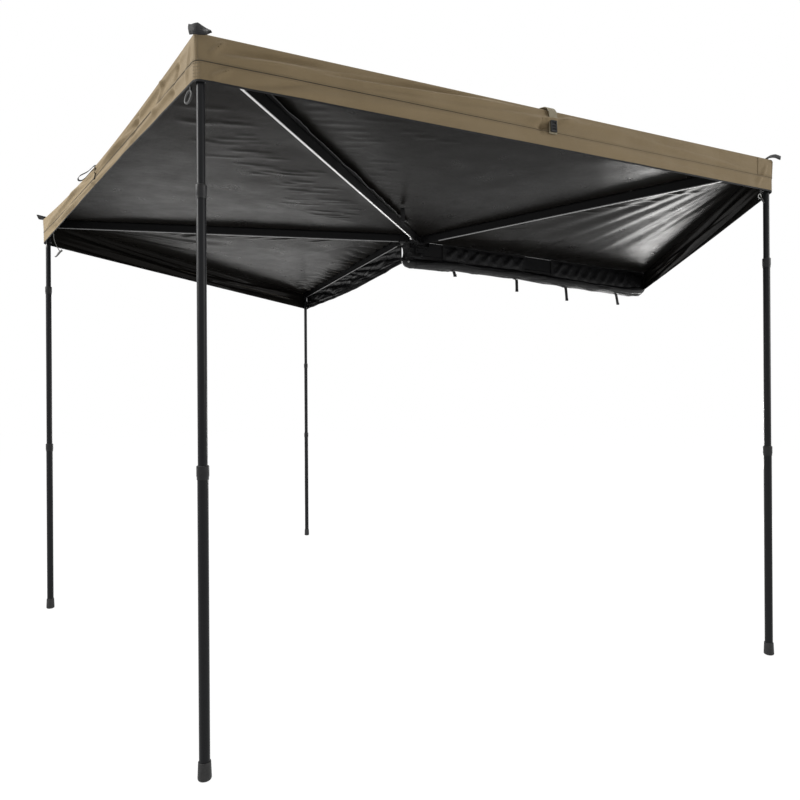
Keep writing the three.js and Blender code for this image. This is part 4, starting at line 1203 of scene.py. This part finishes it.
def edge_frame(key, share):
    """A point of the roof's free edge, with the directions along the edge and out from it."""
    start, end = CORNER[BEFORE[key]], CORNER[key]
    run = in3(unit(end - start))
    top = np.array((*(start + (end - start) * share), ROOF - float(edge_drop(key, share))))
    return top, run, np.cross(UP, run)


# The ladder buckle's bars: along the edge and up from its middle, and their width and height
BUCKLE_BARS = (
    (0, 0.0180, 0.026, 0.006), (0, -0.0180, 0.026, 0.006), (0, 0.004, 0.024, 0.005),
    (-0.0112, 0, 0.0042, 0.042), (0.0112, 0, 0.0042, 0.042), (0, -0.0065, 0.024, 0.004),
)
BUCKLE_THICK = 0.0052


def front_strap():
    """Webbing that comes over the front edge askew, with a ladder buckle in its end."""
    top, run, out = edge_frame("a", 0.485)
    face = OUTWARD_BULGE["a"] * 0.5 + 0.0042
    path = route(top, [run, out, UP], [
        (0.068, -0.095, 0.0035), (0.042, -0.045, 0.0060), (0.022, -0.012, 0.0120),
        (0.011, 0.0065, 0.0100), (0.004, 0.0135, -0.0050), (0.0, face + 0.006, -0.024),
        (0.0, face + 0.005, -0.055), (0.0, face + 0.0045, -0.087),
    ], 60)
    made = Made()
    strap(made, path, 0.035, 0.0018, run)
    made.stitches([path[4] + run * d + UP * 0.0014 for d in (-0.014, 0.014)], UP)
    middle = top + out * (face + 0.0088) - UP * 0.060
    axes = np.array([run, unit(UP + run * 0.06), out])
    for along, up, wide, high in BUCKLE_BARS:
        buckle_bar(made, middle + run * along + UP * up, axes, (wide, high, BUCKLE_THICK))
    tongue = strap_path([middle - out * 0.0010 + UP * up for up in (0.016, 0.004, -0.016)], 10)
    strap(made, tongue, 0.020, 0.0016, run, 3)
    piece = made.object("edge_strap_a_webbing", "arm_a", "webbing",
                        khaki_webbing, thread, lock_plastic, webbing)
    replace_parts(piece, "edge_strap_a")
    fold_cloth(piece)


def buckle_bar(made, centre, axes, size):
    """A bar of the buckle, with its edges broken."""
    wide, high, deep = (length / 2 for length in size)
    cut = 0.0009
    outline = [(-wide + cut, -high), (wide - cut, -high), (wide, -high + cut), (wide, high - cut),
               (wide - cut, high), (-wide + cut, high), (-wide, high - cut), (-wide, -high + cut)]
    levels = ((-deep, 1.0), (deep - cut, 1.0), (deep, 0.86))
    rings = [
        [[x * share, y * share if high > cut * 2 else y, level] for x, y in outline]
        for level, share in levels
    ]
    rings = np.array(rings) @ axes + centre
    made.grid(rings, 2, wrap=True)
    made.caps(rings, 2)


def left_strap():
    """A black webbing loop that sticks out and droops from the left edge."""
    top, run, out = edge_frame("b", 0.500)
    loop = route(top, [out, UP], [
        (-0.060, 0.0030), (-0.020, 0.0040), (0.004, 0.0030), (0.014, -0.010), (0.028, -0.028),
        (0.042, -0.040), (0.058, -0.052), (0.068, -0.066), (0.066, -0.076), (0.054, -0.074),
        (0.040, -0.060), (0.028, -0.042), (0.016, -0.024), (0.006, -0.014),
    ], 90)
    made = Made()
    strap(made, loop, 0.016, 0.0018, run)
    made.stitches([loop[8] + run * d + UP * 0.0014 for d in (-0.006, 0.006)], UP)
    # A thin dark line down the valance below the loop, in the seam's colour: partly a strap's edge
    # and partly a painted shadow of the loop
    share = np.array((0.492, 0.492))
    made.tube(valance_surface("b", share, np.linspace(0.12, 0.72, 14), 0.0036)[0][:, 0], 0.0022,
              slot=2)
    piece = made.object("edge_strap_b_webbing", "arm_b", "webbing", webbing, thread, seam_and_shadow)
    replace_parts(piece, "edge_strap_b")
    fold_cloth(piece)


def sleeve_flap():
    """The wrinkled edge of the sleeve that holds the roof to the second arm."""
    out, down = np.meshgrid(np.linspace(0.28, 1.80, 300), np.linspace(0, 1, 12))
    wave = 0.0035 * rough_field(out, down * 0.03, 0.035, 131)
    wave = wave + 0.004 * rough_field(out, out * 0, 0.16, 133)
    side = 0.0165 + (0.030 + wave) * down
    hang = 0.003 + 0.004 * rough_field(out, out * 0, 0.05, 135)
    drop = 0.0022 + 0.012 * down**1.5 + hang * down
    plan = PIN["a"] + OUT["a"] * out[..., None] + LEFT["a"] * side[..., None]
    points = at3(plan, RAIL_TOP - drop)
    made = Made()
    made.layered(points, 0.0011, side=-1.0)
    made.tube(points[-1], 0.0016, 6)
    made.stitches(points[-3] - (0, 0, 0.0008), -UP)
    piece = made.object("arm_sleeve_a", "arm_a", "black_cloth", black_cloth, black_thread)
    fold_cloth(piece)


def hub_strap():
    """A short strap near the hub that ties up the roof."""
    x, y = -0.3484, -0.620
    path = strap_path([(x, y, 2.176), (x, y - 0.003, 2.155), (x + 0.001, y - 0.002, 2.130),
                       (x + 0.001, y + 0.001, 2.102)], 24)
    made = Made()
    strap(made, path, 0.022, 0.0020, RIGHT)
    fold_cloth(made.object("hub_strap", "arm_a", "webbing", webbing))


corner_tab("d", 1.0)
corner_tab("b", 0.6)
upright_tab()
for key in "dab":
    corner_seam(key)
# The first arm's hook hangs on the front hem, and the second arm's ring on the left one.
for fitting in (("d", "a", -0.072), ("a", "b", -0.041), ("b", "b", 0.075)):
    corner_fitting(*fitting)
elastic_cord()
corner_patch()
front_strap()
left_strap()
sleeve_flap()
hub_strap()


# Materials and smooth shading of the solids that stay

BY_WORD = (
    ("rail", rail_black), ("knuckle", cast_black), ("tip", cast_black), ("lock", lock_plastic),
    ("foot", rubber), ("tube", anodised), ("hub_pin", steel), ("hub_bracket", cast_black),
    ("vehicle_bracket", steel), ("backplate", cast_black),
)
for name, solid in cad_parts.items():
    for word, made in BY_WORD:
        if word in name:
            solid.data.materials.clear()
            solid.data.materials.append(made[name[4]] if word == "rail" else made)
            break
    if "custom_normal" in solid.data.attributes:
        solid.data.attributes.remove(solid.data.attributes["custom_normal"])
    solid.data.polygons.foreach_set("use_smooth", [True] * len(solid.data.polygons))
    solid.modifiers.new("weld", "WELD").merge_threshold = 0.00001
    solid.modifiers.new("split", "EDGE_SPLIT").split_angle = math.radians(32)


# Floor, world and lamps


def seen_rays(tree):
    """One for what the camera sees, straight, through clear pieces or in gloss."""
    rays = node(tree, "LightPath", {})
    seen = maths(tree, "MAXIMUM", rays["Is Camera Ray"], rays["Is Transmission Ray"])
    return maths(tree, "MAXIMUM", seen, rays["Is Glossy Ray"])


def grey_node(tree, kind, grey, **inputs):
    return node(tree, kind, {"Color": (grey,) * 3, **inputs})[0]


def pale_floor():
    """White to the camera and to gloss, with the object's shadow kept faintly."""
    made = bpy.data.materials.new("pale_floor")
    made.use_nodes = True
    tree = made.node_tree
    tree.nodes.clear()
    lit = grey_node(tree, "BsdfDiffuse", 0.78)
    pale = grey_node(tree, "BsdfDiffuse", 0.10)
    glow = grey_node(tree, "Emission", 1.0, Strength=0.965)
    both = node(tree, "AddShader", {0: pale, 1: glow})[0]
    mix = node(tree, "MixShader", {0: seen_rays(tree), 1: lit, 2: both})[0]
    node(tree, "OutputMaterial", {0: mix})
    return made


half = 40.0
mesh = bpy.data.meshes.new("floor")
corners = ((-half, -half), (half, -half), (half, half), (-half, half))
mesh.from_pydata([(x, y, -0.001) for x, y in corners], [], [(0, 1, 2, 3)])
mesh.materials.append(pale_floor())
add_object("floor", mesh)

world = bpy.data.worlds.new("studio")
bpy.context.scene.world = world
world.use_nodes = True
tree = world.node_tree
tree.nodes.clear()
around = grey_node(tree, "Background", 1.0, Strength=0.36)
white = grey_node(tree, "Background", 1.0, Strength=1.0)
mix = node(tree, "MixShader", {0: seen_rays(tree), 1: around, 2: white})[0]
node(tree, "OutputWorld", {0: mix})


def lamp(name, place, aim, size, power):
    made = bpy.data.lights.new(name, "AREA")
    made.shape = "RECTANGLE"
    made.size, made.size_y = size
    made.energy = power
    made.color = (1.0, 0.99, 0.97)
    holder = add_object(name, made)
    holder.location = place
    holder.visible_camera = False
    holder.rotation_mode = "QUATERNION"
    holder.rotation_quaternion = (Vector(aim) - Vector(place)).to_track_quat("-Z", "Y")


lamp("key", (-6.9, 0.3, 4.5), (-0.8, -0.4, 1.8), (3.0, 3.0), 440)
lamp("front", (4.2, -6.0, 2.8), (0.6, -1.7, 2.1), (4.0, 2.5), 165)
lamp("top", (0.0, 0.0, 7.0), (0.0, 0.0, 0.0), (6.0, 6.0), 150)
lamp("low_right", (4.5, 1.30, 0.85), (1.0, -1.1, 2.17), (1.2, 0.8), 66)
lamp("low_back", (-0.1, 4.2, 0.80), (-1.1, -0.3, 2.17), (2.6, 1.0), 20)

bpy.context.scene.view_settings.view_transform = "Standard"
bpy.context.view_layer.update()
